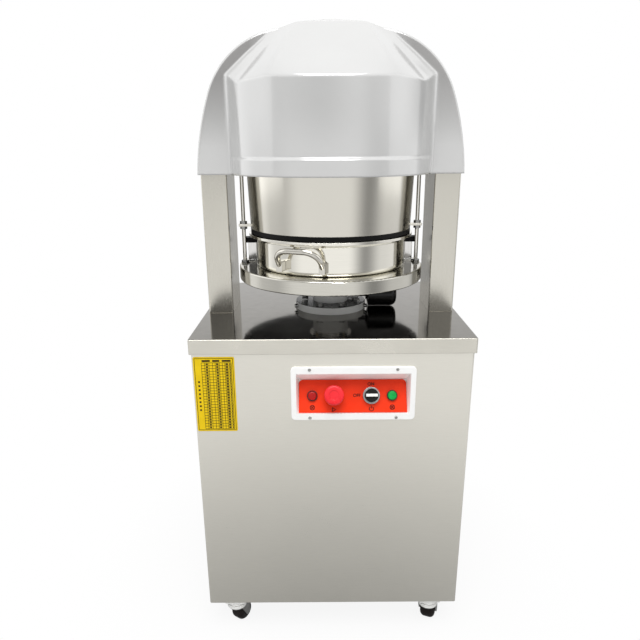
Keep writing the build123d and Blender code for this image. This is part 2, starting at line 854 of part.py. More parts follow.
# Lift column: the ram, its top flange and the fork for the cam roller
with BuildPart() as lift_column:
    with BuildSketch(Plane.XY.offset(roller_z + fork_top)):
        Circle(ram_radius)
    extrude(amount=platform_bottom - roller_z - fork_top)
    with BuildSketch(Plane.XY.offset(platform_bottom - ram_flange)):
        Circle(ram_flange_radius)
        with PolarLocations(platform_screw_circle, platform_screws_count):
            Circle(bolt_radius + bolt_clearance, mode=Mode.SUBTRACT)
    extrude(amount=ram_flange)
    cheek_y = roller_width / 2 + fork_gap + fork_cheek / 2
    with BuildSketch(Plane.XY.offset(roller_z - fork_half_width)):
        with GridLocations(1, 2 * cheek_y, 1, 2):
            Rectangle(2 * fork_half_width, fork_cheek)
    extrude(amount=fork_half_width + fork_top)
    with BuildSketch(Plane.XY.offset(roller_z + fork_top)):
        Rectangle(2 * fork_half_width, 2 * cheek_y + fork_cheek)
    extrude(amount=fork_block)
    with BuildSketch(Plane.XZ.offset(cheek_y)):
        with Locations((0, roller_z)):
            Circle(roller_pin_radius)
    extrude(amount=-2 * cheek_y)
lift_column.part.label = "lift_column"
export_step(lift_column.part, "parts/lift_column.step")

with BuildPart() as cam_roller:
    with BuildSketch(Plane.XZ.offset(roller_width / 2)):
        with Locations((0, roller_z)):
            Circle(roller_radius)
            Circle(roller_pin_radius + shaft_fit, mode=Mode.SUBTRACT)
    extrude(amount=-roller_width)
cam_roller.part.label = "cam_roller"
export_step(cam_roller.part, "parts/cam_roller.step")

# Platform: the polished disc that carries the pan
with BuildPart() as platform:
    with BuildSketch(Plane.XY.offset(platform_bottom)):
        Circle(platform_radius)
    extrude(amount=platform_height)
    fillet(platform.edges(), platform_edge)
    with BuildSketch(Plane.XY.offset(platform_bottom)):
        with GridLocations(2 * rod_circle, 1, 2, 1):
            Circle(rod_radius + bolt_clearance)
        with PolarLocations(platform_screw_circle, platform_screws_count):
            Circle(bolt_radius + bolt_clearance)
    extrude(amount=platform_height, mode=Mode.SUBTRACT)
    with BuildSketch(Plane.XY.offset(platform_top)):
        with PolarLocations(platform_screw_circle, platform_screws_count):
            Circle(nut_across / 2 + bolt_clearance)
    extrude(amount=-2 * head_height, mode=Mode.SUBTRACT)
platform.part.label = "platform"
export_step(platform.part, "parts/platform.step")

with BuildPart() as platform_screws:
    with BuildSketch(Plane.XY.offset(platform_top - 2 * head_height)):
        with PolarLocations(platform_screw_circle, platform_screws_count):
            Circle(nut_across / 2)
    extrude(amount=head_height)
    with BuildSketch(Plane.XY.offset(platform_top - 2 * head_height)):
        with PolarLocations(platform_screw_circle, platform_screws_count):
            Circle(bolt_radius)
    extrude(amount=-(platform_height - 2 * head_height + ram_flange))
platform_screws.part.label = "platform_screws"
export_step(platform_screws.part, "parts/platform_screws.step")

# Tie rods: they hold the drum at a fixed height above the platform
rod_bottom = platform_bottom - nut_height - rod_radius / 2
rod_top = drum_top
with BuildPart() as tie_rods:
    with BuildSketch(Plane.XY.offset(rod_bottom)):
        with GridLocations(2 * rod_circle, 1, 2, 1):
            Circle(rod_radius)
    extrude(amount=rod_top - rod_bottom)
tie_rods.part.label = "tie_rods"
export_step(tie_rods.part, "parts/tie_rods.step")

ear_top = drum_bottom + ear_height
nut_seats = (platform_bottom - nut_height, platform_top, drum_bottom - nut_height, ear_top)
with BuildPart() as rod_nuts:
    for seat in nut_seats:
        with BuildSketch(Plane.XY.offset(seat)):
            with GridLocations(2 * rod_circle, 1, 2, 1):
                RegularPolygon(nut_across / 2, 6, major_radius=False)
                Circle(rod_radius + shaft_fit, mode=Mode.SUBTRACT)
        extrude(amount=nut_height)
rod_nuts.part.label = "rod_nuts"
export_step(rod_nuts.part, "parts/rod_nuts.step")

def drum_section(inset):
    """Half section of the drum as a full cone, drawn this far inside its wall."""
    with BuildSketch(Plane.XZ) as section:
        with BuildLine():
            Polyline(
                (0, drum_bottom),
                (drum_radius - inset, drum_bottom),
                (drum_top_radius - inset, drum_top),
                (0, drum_top),
                close=True,
            )
        make_face()
    return section.sketch


# Drum: the rolled steel wall round the knives, a little wider at the top, with an ear for each rod
ear_root = drum_radius - 2 * drum_wall
drum_outer = drum_section(0.0)
drum_inner = drum_section(drum_wall)
with BuildPart() as drum:
    revolve(drum_outer, axis=Axis.Z)
    with BuildSketch(Plane.XY.offset(drum_bottom)):
        with GridLocations(ear_end + ear_root, 1, 2, 1):
            Rectangle(ear_end - ear_root, ear_depth)
    extrude(amount=ear_height)
    revolve(drum_inner, axis=Axis.Z, mode=Mode.SUBTRACT)
    with BuildSketch(Plane.XY.offset(drum_bottom)):
        with GridLocations(2 * rod_circle, 1, 2, 1):
            Circle(rod_radius + bolt_clearance)
    extrude(amount=ear_height, mode=Mode.SUBTRACT)
drum.part.label = "drum"
export_step(drum.part, "parts/drum.step")

with BuildPart() as drum_seal:
    with BuildSketch(Plane.XY.offset(seal_bottom)):
        Circle(drum_radius)
        Circle(drum_radius - seal_wall, mode=Mode.SUBTRACT)
    extrude(amount=seal_height)
drum_seal.part.label = "drum_seal"
export_step(drum_seal.part, "parts/drum_seal.step")

# Pan stops: an upright plate on a foot at each side of the pan, behind the rods, with a black pad on top
pad_x = stop_x + (pad_width - stop_width) / 2
with BuildPart() as pan_stops:
    with BuildSketch(Plane.XY.offset(platform_top)):
        with Locations((-stop_x, stop_back), (stop_x, stop_back)):
            Rectangle(stop_width, stop_plate)
    extrude(amount=stop_height)
    with BuildSketch(Plane.XY.offset(platform_top)):
        with Locations((-stop_x, stop_back), (stop_x, stop_back)):
            Rectangle(stop_width, stop_foot)
    extrude(amount=stop_foot_height)
pan_stops.part.label = "pan_stops"
export_step(pan_stops.part, "parts/pan_stops.step")

with BuildPart() as stop_pads:
    with BuildSketch(Plane.XY.offset(platform_top + stop_height)):
        with Locations((-pad_x, stop_back), (pad_x, stop_back)):
            Rectangle(pad_width, pad_depth)
    extrude(amount=pad_height)
stop_pads.part.label = "stop_pads"
export_step(stop_pads.part, "parts/stop_pads.step")

# Pan: a straight-sided pressed bowl with a turned rim
pan_inner = pan_radius - pan_wall
with BuildPart() as dough_pan:
    with BuildSketch(Plane.XZ) as pan_section:
        with BuildLine():
            Polyline(
                (0, platform_top),
                (pan_radius, platform_top),
                (pan_radius, pan_rim_top - pan_flare),
                (pan_rim_radius, pan_rim_top - pan_rim),
                (pan_rim_radius, pan_rim_top),
                (pan_inner, pan_rim_top),
                (pan_inner, platform_top + pan_wall),
                (0, platform_top + pan_wall),
                close=True,
            )
        make_face()
        corners = pan_section.vertices()
        fillet(corners.sort_by_distance((pan_inner, 0, platform_top + pan_wall))[0], pan_corner - pan_wall)
        corners = pan_section.vertices()
        fillet(corners.sort_by_distance((pan_radius, 0, platform_top))[0], pan_corner)
        corners = pan_section.vertices()
        rim_corners = corners.sort_by_distance((pan_rim_radius, 0, pan_rim_top - pan_rim / 2))[:2]
        fillet(rim_corners, pan_rim_round)
    revolve(axis=Axis.Z)
dough_pan.part.label = "dough_pan"
export_step(dough_pan.part, "parts/dough_pan.step")

# Pan handles: a bent bar on two feet, at the front left and opposite
with BuildPart() as pan_handles:
    for azimuth_deg in (handle_azimuth_deg, handle_azimuth_deg + 180):
        azimuth = math.radians(azimuth_deg)
        tilt = math.radians(handle_tilt_deg)
        out = Vector(-math.sin(azimuth), -math.cos(azimuth), 0)
        along = Vector(math.cos(azimuth), -math.sin(azimuth), 0)
        up = out * math.sin(tilt) + Vector(0, 0, math.cos(tilt))
        half = handle_span / 2
        root = out * (pan_radius + handle_reach / 2) + Vector(0, 0, platform_top + handle_foot)
        with BuildLine(Plane(origin=root, x_dir=along, z_dir=along.cross(up))) as bow:
            FilletPolyline(
                (-half, 0), (-half, handle_rise), (half, handle_rise), (half, 0), radius=handle_bend
            )
        with BuildSketch(Plane(origin=bow.line @ 0, z_dir=bow.line % 0)):
            Circle(handle_bar_radius)
        sweep(path=bow.line)
        for end in (-half, half):
            foot = out * (pan_radius + handle_reach) + along * end + Vector(0, 0, platform_top + handle_foot)
            with BuildSketch(Plane(origin=foot, x_dir=along, z_dir=-out)):
                RectangleRounded(handle_foot_width, handle_foot_height, handle_foot_round)
            extrude(amount=handle_reach + handle_span / 4)
    with BuildSketch(Plane.XY.offset(platform_top)):
        Circle(pan_radius + shaft_fit)
    extrude(amount=pan_height, mode=Mode.SUBTRACT)
pan_handles.part.label = "pan_handles"
export_step(pan_handles.part, "parts/pan_handles.step")

# Control panel. Its plate leans back to face someone standing, and its devices are set out on the plate's
# face, with x along the plate from its middle and y up its slope from its lower edge.
plate_tilt = math.radians(plate_tilt_deg)
plate_normal = Vector(0, -math.cos(plate_tilt), math.sin(plate_tilt))
plate_foot = Vector(panel_x, -(panel_front - plate_inset), panel_z - recess_height / 2)
plate_face = Plane(origin=plate_foot, x_dir=(1, 0, 0), z_dir=plate_normal)
plate_seat = plate_face.offset(-plate_sheet)
tub_back = plate_face.offset(-plate_sheet - tub_wall)
lamp_points = ((lamp_left_x, device_rise), (lamp_right_x, device_rise))
switch_points = ((start_x, device_rise), (selector_x, device_rise))
panel_screw_z = panel_height / 2 - panel_screw_margin


def device_circles(mode=Mode.ADD):
    """Draw the holes for two lamps and two switches in the sketch being built on the plate."""
    with Locations(*lamp_points):
        Circle(lamp_hole_radius, mode=mode)
    with Locations(*switch_points):
        Circle(device_hole_radius, mode=mode)


# Panel frame: a white moulding in the cabinet front, with a wedge-shaped recess and a sloping floor
with BuildPart() as panel_frame:
    with BuildSketch(Plane.XZ.offset(panel_front)):
        with Locations((panel_x, panel_z)):
            RectangleRounded(panel_width, panel_height, panel_corner)
    extrude(amount=-panel_lip)
    fillet(panel_frame.faces().sort_by(Axis.Y)[0].edges(), panel_edge)
    with BuildSketch(Plane.XZ.offset(cabinet_half_depth)):
        with Locations((panel_x, panel_z)):
            Rectangle(tub_width, tub_height)
    with BuildSketch(tub_back):
        with Locations((0, plate_height / 2)):
            Rectangle(plate_width + 2 * tub_wall, plate_height + 2 * tub_wall)
    loft(ruled=True)
    with BuildSketch(Plane.XZ.offset(panel_front)):
        with Locations((panel_x, panel_z)):
            Rectangle(recess_width, recess_height)
    with BuildSketch(plate_seat):
        with Locations((0, plate_height / 2)):
            Rectangle(plate_width, plate_height)
    loft(ruled=True, mode=Mode.SUBTRACT)
    with BuildSketch(Plane.XZ.offset(panel_front)):
        with Locations((panel_x, panel_z)):
            with GridLocations(panel_screw_spread, 2 * panel_screw_z, 2, 2):
                Circle(panel_screw_radius + device_fit)
    extrude(amount=-panel_lip, mode=Mode.SUBTRACT)
    with BuildSketch(plate_face):
        device_circles()
    extrude(amount=-2 * (plate_sheet + tub_wall), mode=Mode.SUBTRACT)
panel_frame.part.label = "panel_frame"
export_step(panel_frame.part, "parts/panel_frame.step")

# Panel plate: the red sheet on the recess floor, rounded at its upper corners
with BuildPart() as panel_plate:
    with BuildSketch(plate_seat) as plate_outline:
        with Locations((0, plate_height / 2)):
            Rectangle(plate_width - 2 * tub_fit, plate_height - 2 * tub_fit)
        fillet(plate_outline.vertices().sort_by(Axis.Y)[-2:], plate_corner)
        device_circles(mode=Mode.SUBTRACT)
    extrude(amount=plate_sheet)
panel_plate.part.label = "panel_plate"
export_step(panel_plate.part, "parts/panel_plate.step")

with BuildPart() as panel_screws:
    with BuildSketch(Plane.XZ.offset(panel_front)):
        with Locations((panel_x, panel_z)):
            with GridLocations(panel_screw_spread, 2 * panel_screw_z, 2, 2):
                Circle(panel_screw_head_radius)
    extrude(amount=panel_screw_head)
    with BuildSketch(Plane.XZ.offset(panel_front)):
        with Locations((panel_x, panel_z)):
            with GridLocations(panel_screw_spread, 2 * panel_screw_z, 2, 2):
                Circle(panel_screw_radius)
    extrude(amount=-panel_lip)
panel_screws.part.label = "panel_screws"
export_step(panel_screws.part, "parts/panel_screws.step")

# Lamps: a dark bezel with its body behind the plate, and a coloured lens set in the bezel
with BuildPart() as lamp_bezels:
    with BuildSketch(plate_face):
        with Locations(*lamp_points):
            Circle(lamp_bezel_radius)
    extrude(amount=lamp_bezel)
    with BuildSketch(plate_face):
        with Locations(*lamp_points):
            Circle(lamp_hole_radius - device_fit)
    extrude(amount=-lamp_body)
    with BuildSketch(plate_face.offset(lamp_bezel)):
        with Locations(*lamp_points):
            Circle(lens_radius + device_fit)
    extrude(amount=-lens_seat, mode=Mode.SUBTRACT)
lamp_bezels.part.label = "lamp_bezels"
export_step(lamp_bezels.part, "parts/lamp_bezels.step")

for name, point in (("red_lens", lamp_points[0]), ("green_lens", lamp_points[1])):
    with BuildPart() as lens:
        with BuildSketch(plate_face.offset(lamp_bezel - lens_seat)):
            with Locations(point):
                Circle(lens_radius)
        extrude(amount=lens_rise)
        fillet(lens.edges().filter_by(GeomType.CIRCLE).sort_by(Axis.Y)[0], lens_round)
    lens.part.label = name
    export_step(lens.part, f"parts/{name}.step")

# Start button: a red mushroom head on a stem that slides in a collar
body_end = plate_sheet + tub_wall + device_body
with BuildPart() as start_collar_node:
    with BuildSketch(plate_face):
        with Locations(switch_points[0]):
            Circle(start_collar_radius)
    extrude(amount=start_collar)
    with BuildSketch(plate_face):
        with Locations(switch_points[0]):
            Circle(device_hole_radius - device_fit)
    extrude(amount=-body_end)
    with BuildSketch(plate_face.offset(start_collar)):
        with Locations(switch_points[0]):
            Circle(start_stem_radius + switch_fit)
    extrude(amount=-(start_collar + body_end), mode=Mode.SUBTRACT)
start_collar_node.part.label = "start_collar"
export_step(start_collar_node.part, "parts/start_collar.step")

head_seat = start_collar + start_travel + start_head_gap
stem_end = body_end - start_travel - start_head_gap
with BuildPart() as start_button:
    with BuildSketch(plate_face.offset(head_seat)):
        with Locations(switch_points[0]):
            Circle(start_head_radius)
    extrude(amount=start_head)
    fillet(start_button.edges().filter_by(GeomType.CIRCLE).sort_by(Axis.Y)[0], start_head_round)
    with BuildSketch(plate_face.offset(head_seat + start_head)):
        with Locations(switch_points[0]):
            Circle(start_dish_radius)
    extrude(amount=-start_dish, mode=Mode.SUBTRACT)
    with BuildSketch(plate_face.offset(head_seat)):
        with Locations(switch_points[0]):
            Circle(start_stem_radius)
    extrude(amount=-(head_seat + stem_end))
start_button.part.label = "start_button"
export_step(start_button.part, "parts/start_button.step")

# Selector switch: a plated bezel and a knob with a grip bar, lying across at rest
with BuildPart() as selector_bezel_node:
    with BuildSketch(plate_face):
        with Locations(switch_points[1]):
            Circle(selector_bezel_radius)
    extrude(amount=selector_bezel)
    with BuildSketch(plate_face):
        with Locations(switch_points[1]):
            Circle(device_hole_radius - device_fit)
    extrude(amount=-body_end)
    with BuildSketch(plate_face.offset(selector_bezel)):
        with Locations(switch_points[1]):
            Circle(selector_stem_radius + switch_fit)
    extrude(amount=-(selector_bezel + body_end), mode=Mode.SUBTRACT)
selector_bezel_node.part.label = "selector_bezel"
export_step(selector_bezel_node.part, "parts/selector_bezel.step")

knob_seat = selector_bezel + running_gap
with BuildPart() as selector_knob_node:
    with BuildSketch(plate_face.offset(knob_seat)):
        with Locations(switch_points[1]):
            Circle(selector_knob_radius)
    extrude(amount=selector_knob)
    with BuildSketch(plate_face.offset(knob_seat + selector_knob)):
        with Locations(switch_points[1]):
            Rectangle(selector_bar_length, selector_bar_width)
    extrude(amount=selector_bar)
    with BuildSketch(plate_face.offset(knob_seat)):
        with Locations(switch_points[1]):
            Circle(selector_stem_radius)
    extrude(amount=-(knob_seat + stem_end))
selector_knob_node.part.label = "selector_knob"
export_step(selector_knob_node.part, "parts/selector_knob.step")

with BuildPart() as contact_blocks:
    with BuildSketch(plate_face.offset(-body_end)):
        with Locations(*switch_points):
            Rectangle(contact_width, contact_height)
    extrude(amount=-contact_depth)
contact_blocks.part.label = "contact_blocks"
export_step(contact_blocks.part, "parts/contact_blocks.step")

# Control box: a closed box on the inside of the right wall
box_right = cabinet_half_width - cabinet_sheet
with BuildPart() as control_box:
    with BuildSketch(Plane.XY.offset(table_z - box_drop)):
        with Locations((box_right - box_width / 2, box_depth / 2)):
            RectangleRounded(box_width, box_depth, cabinet_corner)
    extrude(amount=box_height)
control_box.part.label = "control_box"
export_step(control_box.part, "parts/control_box.step")

# Chart plate: a thin plate at the upper left of the cabinet front
chart_x = -(cabinet_half_width - chart_edge - chart_width / 2)
chart_z = table_z - chart_drop - chart_height / 2
with BuildPart() as chart_plate:
    with BuildSketch(Plane.XZ.offset(cabinet_half_depth)):
        with Locations((chart_x, chart_z)):
            RectangleRounded(chart_width, chart_height, chart_edge)
    extrude(amount=chart_sheet)
chart_plate.part.label = "chart_plate"
export_step(chart_plate.part, "parts/chart_plate.step")

# Mains gland: a nut outside the cover, a spigot through it and a bore for the cable. It reaches as far
# back as the start button reaches forward.
front_reach = -start_button.part.bounding_box().min.Y
with BuildPart() as cable_gland:
    with BuildSketch(Plane.XZ.offset(-cover_back)):
        with Locations((gland_x, gland_z)):
            RegularPolygon(gland_nut_across / 2, 6, major_radius=False)
    extrude(amount=-gland_nut)
    with BuildSketch(Plane.XZ.offset(-cover_back - gland_nut)):
        with Locations((gland_x, gland_z)):
            Circle(gland_radius)
    extrude(amount=-(front_reach - cover_back - gland_nut))
    with BuildSketch(Plane.XZ.offset(-cover_back)):
        with Locations((gland_x, gland_z)):
            Circle(gland_spigot_radius)
    extrude(amount=cover_sheet + gland_nut)
    with BuildSketch(Plane.XZ.offset(-front_reach)):
        with Locations((gland_x, gland_z)):
            Circle(gland_bore_radius)
    extrude(amount=front_reach, mode=Mode.SUBTRACT)
cable_gland.part.label = "cable_gland"
export_step(cable_gland.part, "parts/cable_gland.step")

# Cam: its pitch curve rises in proportion to the angle, then falls back in a smooth curve
cam_sweep = math.radians(cam_sweep_deg)
cam_slope = lift_travel / cam_sweep


def cam_pitch(angle):
    """Pitch radius and its slope here: a straight rise, then a cubic with the same slope at both ends."""
    if angle <= cam_sweep:
        return cam_base_radius + cam_slope * angle, cam_slope
    span = 2 * math.pi - cam_sweep
    u = (angle - cam_sweep) / span
    slope_u = cam_slope * span
    height = lift_travel * (2 * u**3 - 3 * u**2 + 1) + slope_u * (2 * u**3 - 3 * u**2 + u)
    rate = lift_travel * (6 * u**2 - 6 * u) + slope_u * (6 * u**2 - 6 * u + 1)
    return cam_base_radius + height, rate / span


def cam_point(angle):
    """A point of the cam's edge: the pitch curve drawn in by the roller's radius along its normal."""
    radius, rate = cam_pitch(angle)
    tangent_x = -rate * math.sin(angle) - radius * math.cos(angle)
    tangent_z = rate * math.cos(angle) - radius * math.sin(angle)
    length = math.hypot(tangent_x, tangent_z)
    inset = roller_radius + cam_gap
    x = -radius * math.sin(angle) - inset * tangent_z / length
    z = radius * math.cos(angle) + inset * tangent_x / length
    return x, cam_z + z


with BuildPart() as cam:
    with BuildSketch(Plane.XZ.offset(cam_thickness / 2)):
        with BuildLine():
            Spline(*[cam_point(2 * math.pi * i / cam_points) for i in range(cam_points)], periodic=True)
        make_face()
    extrude(amount=-cam_thickness)
    with BuildSketch(Plane.XZ.offset(cam_thickness)):
        with Locations((0, cam_z)):
            Circle(cam_shaft_radius)
    extrude(amount=-(cam_thickness + gearbox_front + gearbox_depth / 2))
cam.part.label = "cam"
export_step(cam.part, "parts/cam.step")

# Gearbox: a worm box on its stand, bored for the cam's shaft
with BuildPart() as gearbox:
    with BuildSketch(Plane.XY.offset(gearbox_bottom)):
        with Locations((0, gearbox_y)):
            RectangleRounded(gearbox_width, gearbox_depth, gearbox_edge)
    extrude(amount=gearbox_height)
    with BuildSketch(Plane.XZ.offset(-gearbox_front)):
        with Locations((0, cam_z)):
            Circle(cam_shaft_radius + shaft_fit)
    extrude(amount=-(gearbox_depth / 2 + running_gap), mode=Mode.SUBTRACT)
gearbox.part.label = "gearbox"
export_step(gearbox.part, "parts/gearbox.step")

# Motor: flanged on the gearbox's right side, with cooling fins along its body
with BuildPart() as motor:
    with BuildSketch(Plane.YZ.offset(gearbox_width / 2)):
        with Locations((gearbox_y, worm_z)):
            Circle(motor_flange_radius)
    extrude(amount=motor_flange)
    with BuildSketch(Plane.YZ.offset(gearbox_width / 2)):
        with Locations((gearbox_y, worm_z)):
            Circle(motor_radius)
            with PolarLocations(motor_radius - fin_depth / 2, motor_fins):
                Rectangle(2 * fin_depth, fin_width, mode=Mode.SUBTRACT)
    extrude(amount=motor_length)
motor.part.label = "motor"
export_step(motor.part, "parts/motor.step")

# Casters: a plate with a double race ring, a fork that swivels under it, and a wheel on the fork's axle
crown_bottom = 2 * wheel_radius + fork_crown_gap
crown_top = crown_bottom + fork_sheet
race_bottom = crown_top + running_gap
plate_bottom = caster_height - caster_plate
race_middle = (race_bottom + plate_bottom) / 2
fork_half = wheel_width / 2 + wheel_side_gap + fork_sheet
with BuildPart() as caster_plates:
    with BuildSketch(Plane.XY.offset(plate_bottom)):
        with GridLocations(2 * caster_x, 2 * caster_y, 2, 2):
            RectangleRounded(caster_plate_size, caster_plate_size, cabinet_corner)
    extrude(amount=caster_plate)
    with BuildSketch(Plane.XY.offset(race_bottom)):
        with GridLocations(2 * caster_x, 2 * caster_y, 2, 2):
            Circle(race_radius)
    extrude(amount=plate_bottom - race_bottom)
    with BuildSketch(Plane.XY.offset(race_middle - race_groove / 2)):
        with GridLocations(2 * caster_x, 2 * caster_y, 2, 2):
            Circle(race_radius)
            Circle(race_radius - race_groove_depth, mode=Mode.SUBTRACT)
    extrude(amount=race_groove, mode=Mode.SUBTRACT)
caster_plates.part.label = "caster_plates"
export_step(caster_plates.part, "parts/caster_plates.step")

for corner, (sign_x, sign_y) in caster_signs.items():
    heading = math.radians(caster_headings_deg[corner])
    ahead = Vector(math.cos(heading), math.sin(heading), 0)
    aside = Vector(math.sin(heading), -math.cos(heading), 0)
    pivot = Vector(sign_x * caster_x, sign_y * caster_y, 0)
    side_plane = Plane(origin=pivot, x_dir=ahead, z_dir=aside)
    with BuildPart() as fork:
        with BuildSketch(Plane(origin=pivot + Vector(0, 0, crown_bottom), x_dir=ahead, z_dir=(0, 0, 1))):
            Circle(race_radius - race_groove)
            with Locations((caster_trail / 2, 0)):
                Rectangle(caster_trail + 2 * fork_boss_radius, 2 * fork_half)
        extrude(amount=fork_sheet)
        for inner in (fork_half - fork_sheet, -fork_half):
            with BuildSketch(side_plane.offset(inner)):
                with Locations((caster_trail, wheel_radius)):
                    Circle(fork_boss_radius)
                with Locations((caster_trail / 2, crown_bottom + fork_sheet / 2)):
                    Rectangle(caster_trail + 2 * fork_boss_radius, fork_sheet)
                make_hull()
            extrude(amount=fork_sheet)
        with BuildSketch(side_plane.offset(-fork_half)):
            with Locations((caster_trail, wheel_radius)):
                Circle(axle_radius)
        extrude(amount=2 * fork_half)
    fork.part.label = f"fork_{corner}"
    export_step(fork.part, f"parts/fork_{corner}.step")
    with BuildPart() as wheel:
        with BuildSketch(side_plane.offset(-wheel_width / 2)):
            with Locations((caster_trail, wheel_radius)):
                Circle(wheel_radius)
        extrude(amount=wheel_width)
        fillet(wheel.edges().filter_by(GeomType.CIRCLE), wheel_edge)
        with BuildSketch(side_plane.offset(-wheel_width / 2)):
            with Locations((caster_trail, wheel_radius)):
                Circle(axle_radius + shaft_fit)
        extrude(amount=wheel_width, mode=Mode.SUBTRACT)
    wheel.part.label = f"wheel_{corner}"
    export_step(wheel.part, f"parts/wheel_{corner}.step")
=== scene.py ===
import math

import bpy
import numpy as np
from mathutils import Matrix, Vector


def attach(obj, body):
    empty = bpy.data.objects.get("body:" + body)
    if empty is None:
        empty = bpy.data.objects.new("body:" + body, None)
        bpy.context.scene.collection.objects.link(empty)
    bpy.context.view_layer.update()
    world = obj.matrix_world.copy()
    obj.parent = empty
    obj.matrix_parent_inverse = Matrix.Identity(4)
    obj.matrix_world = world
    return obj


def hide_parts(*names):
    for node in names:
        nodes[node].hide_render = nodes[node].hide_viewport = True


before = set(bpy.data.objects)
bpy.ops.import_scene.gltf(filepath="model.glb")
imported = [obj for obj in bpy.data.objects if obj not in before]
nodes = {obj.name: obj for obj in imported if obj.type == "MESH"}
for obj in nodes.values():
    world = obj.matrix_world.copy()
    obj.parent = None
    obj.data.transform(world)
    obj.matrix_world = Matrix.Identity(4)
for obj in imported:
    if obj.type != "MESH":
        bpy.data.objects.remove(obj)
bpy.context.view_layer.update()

# Casters: a small twin-race swivel caster under each corner of the base. The plate and its pale ball-race
# rings are pressed and zinc plated, the fork is folded from darker plated sheet, and the wheel is dark
# moulded rubber.


def finish_tree(name, **sockets):
    """A new material and its node tree, with these plain values set on its shader's own sockets."""
    material = bpy.data.materials.new(name)
    material.use_nodes = True
    tree = material.node_tree
    shader = tree.nodes["Principled BSDF"]
    for socket, value in sockets.items():
        shader.inputs[socket.replace("_", " ")].default_value = value
    return material, tree, shader


def add_node(tree, kind, **sockets):
    """One more node of this kind in the tree, with these plain values on its inputs."""
    node = tree.nodes.new(kind)
    for socket, value in sockets.items():
        node.inputs[socket.replace("_", " ")].default_value = value
    return node


def grain_noise(tree, stretch, scale, detail=5.0):
    """A noise on Object coordinates, drawn out along the axis whose stretch is smallest."""
    place = add_node(tree, "ShaderNodeMapping", Scale=stretch)
    noise = add_node(tree, "ShaderNodeTexNoise", Scale=scale, Detail=detail, Roughness=0.62)
    coordinates = add_node(tree, "ShaderNodeTexCoord")
    tree.links.new(coordinates.outputs["Object"], place.inputs["Vector"])
    tree.links.new(place.outputs["Vector"], noise.inputs["Vector"])
    return noise.outputs["Fac"]


def spread(tree, factor, low, high, from_low=0.3, from_high=0.7):
    """Carries a factor over to a new range of plain numbers."""
    scale = add_node(tree, "ShaderNodeMapRange")
    scale.inputs["From Min"].default_value = from_low
    scale.inputs["From Max"].default_value = from_high
    scale.inputs["To Min"].default_value = low
    scale.inputs["To Max"].default_value = high
    tree.links.new(factor, scale.inputs["Value"])
    return scale.outputs["Result"]


def two_tone(tree, factor, dark, light, start=0.32, end=0.68):
    """Mixes two colours by a factor, dark up to the start and light from the end on."""
    ramp = add_node(tree, "ShaderNodeValToRGB")
    ramp.color_ramp.elements[0].position = start
    ramp.color_ramp.elements[1].position = end
    ramp.color_ramp.elements[0].color = (*dark, 1.0)
    ramp.color_ramp.elements[1].color = (*light, 1.0)
    tree.links.new(factor, ramp.inputs["Fac"])
    return ramp.outputs["Color"]


def combine(tree, operation, first, second):
    """One sum, product or the like of two factors, the second of which may be a plain number."""
    node = add_node(tree, "ShaderNodeMath")
    node.operation = operation
    tree.links.new(first, node.inputs[0])
    if isinstance(second, float):
        node.inputs[1].default_value = second
    else:
        tree.links.new(second, node.inputs[1])
    return node.outputs["Value"]


def soft_relief(tree, shader, factor, depth, edge):
    """Fine relief from a factor, over edges that are rounded by the edge radius."""
    bump = add_node(tree, "ShaderNodeBump", Strength=0.35, Distance=depth)
    rounding = add_node(tree, "ShaderNodeBevel", Radius=edge)
    rounding.samples = 6
    tree.links.new(rounding.outputs["Normal"], bump.inputs["Normal"])
    tree.links.new(factor, bump.inputs["Height"])
    tree.links.new(bump.outputs["Normal"], shader.inputs["Normal"])


def moulded(name, dark, light, rough, scale=60.0, edge=0.001, depth=0.00004, **sockets):
    """Moulded or painted surface: a faint mottle in its colour and gloss, and an orange-peel relief."""
    material, tree, shader = finish_tree(name, **sockets)
    mottle = grain_noise(tree, (1.0, 1.0, 1.0), scale)
    tree.links.new(two_tone(tree, mottle, dark, light), shader.inputs["Base Color"])
    tree.links.new(spread(tree, mottle, rough * 0.85, rough * 1.2), shader.inputs["Roughness"])
    soft_relief(tree, shader, mottle, depth, edge)
    return material


def ground_steel(name, dark, light, rough, stretch, scale=40.0, edge=0.0012, depth=0.00004, **sockets):
    """Stainless sheet: belt-grinding scratches vary its colour and relief, and hand marks its gloss."""
    material, tree, shader = finish_tree(name, **{"Metallic": 1.0, **sockets})
    scratches = grain_noise(tree, stretch, scale)
    tree.links.new(two_tone(tree, scratches, dark, light), shader.inputs["Base Color"])
    marks = grain_noise(tree, (1.0, 1.0, 1.0), 9.0, detail=3.0)
    scratch_share = combine(tree, "MULTIPLY", scratches, 0.6)
    mark_share = combine(tree, "MULTIPLY", marks, 0.4)
    both = combine(tree, "ADD", scratch_share, mark_share)
    tree.links.new(spread(tree, both, rough * 0.8, rough * 1.25), shader.inputs["Roughness"])
    soft_relief(tree, shader, scratches, depth, edge)
    return material


def dress(material, *names):
    """Gives CAD nodes this material in place of their plain one."""
    for name in names:
        nodes[name].data.materials.clear()
        nodes[name].data.materials.append(material)


race_zinc = moulded(
    "pale_race_zinc", (0.80, 0.80, 0.78), (0.86, 0.86, 0.84), 0.3, scale=25.0, depth=0.00001
)
dress(race_zinc, "caster_plates")
fork_zinc = ground_steel(
    "plated_fork_sheet", (0.26, 0.26, 0.25), (0.36, 0.36, 0.35), 0.32, (1.0, 1.0, 1.0), scale=120.0
)
wheel_rubber = moulded(
    "dark_wheel_rubber", (0.006, 0.004, 0.004), (0.014, 0.009, 0.008), 0.42, Specular_IOR_Level=0.2
)
for corner in ("front_left", "front_right", "rear_left", "rear_right"):
    dress(fork_zinc, "fork_" + corner)
    dress(wheel_rubber, "wheel_" + corner)

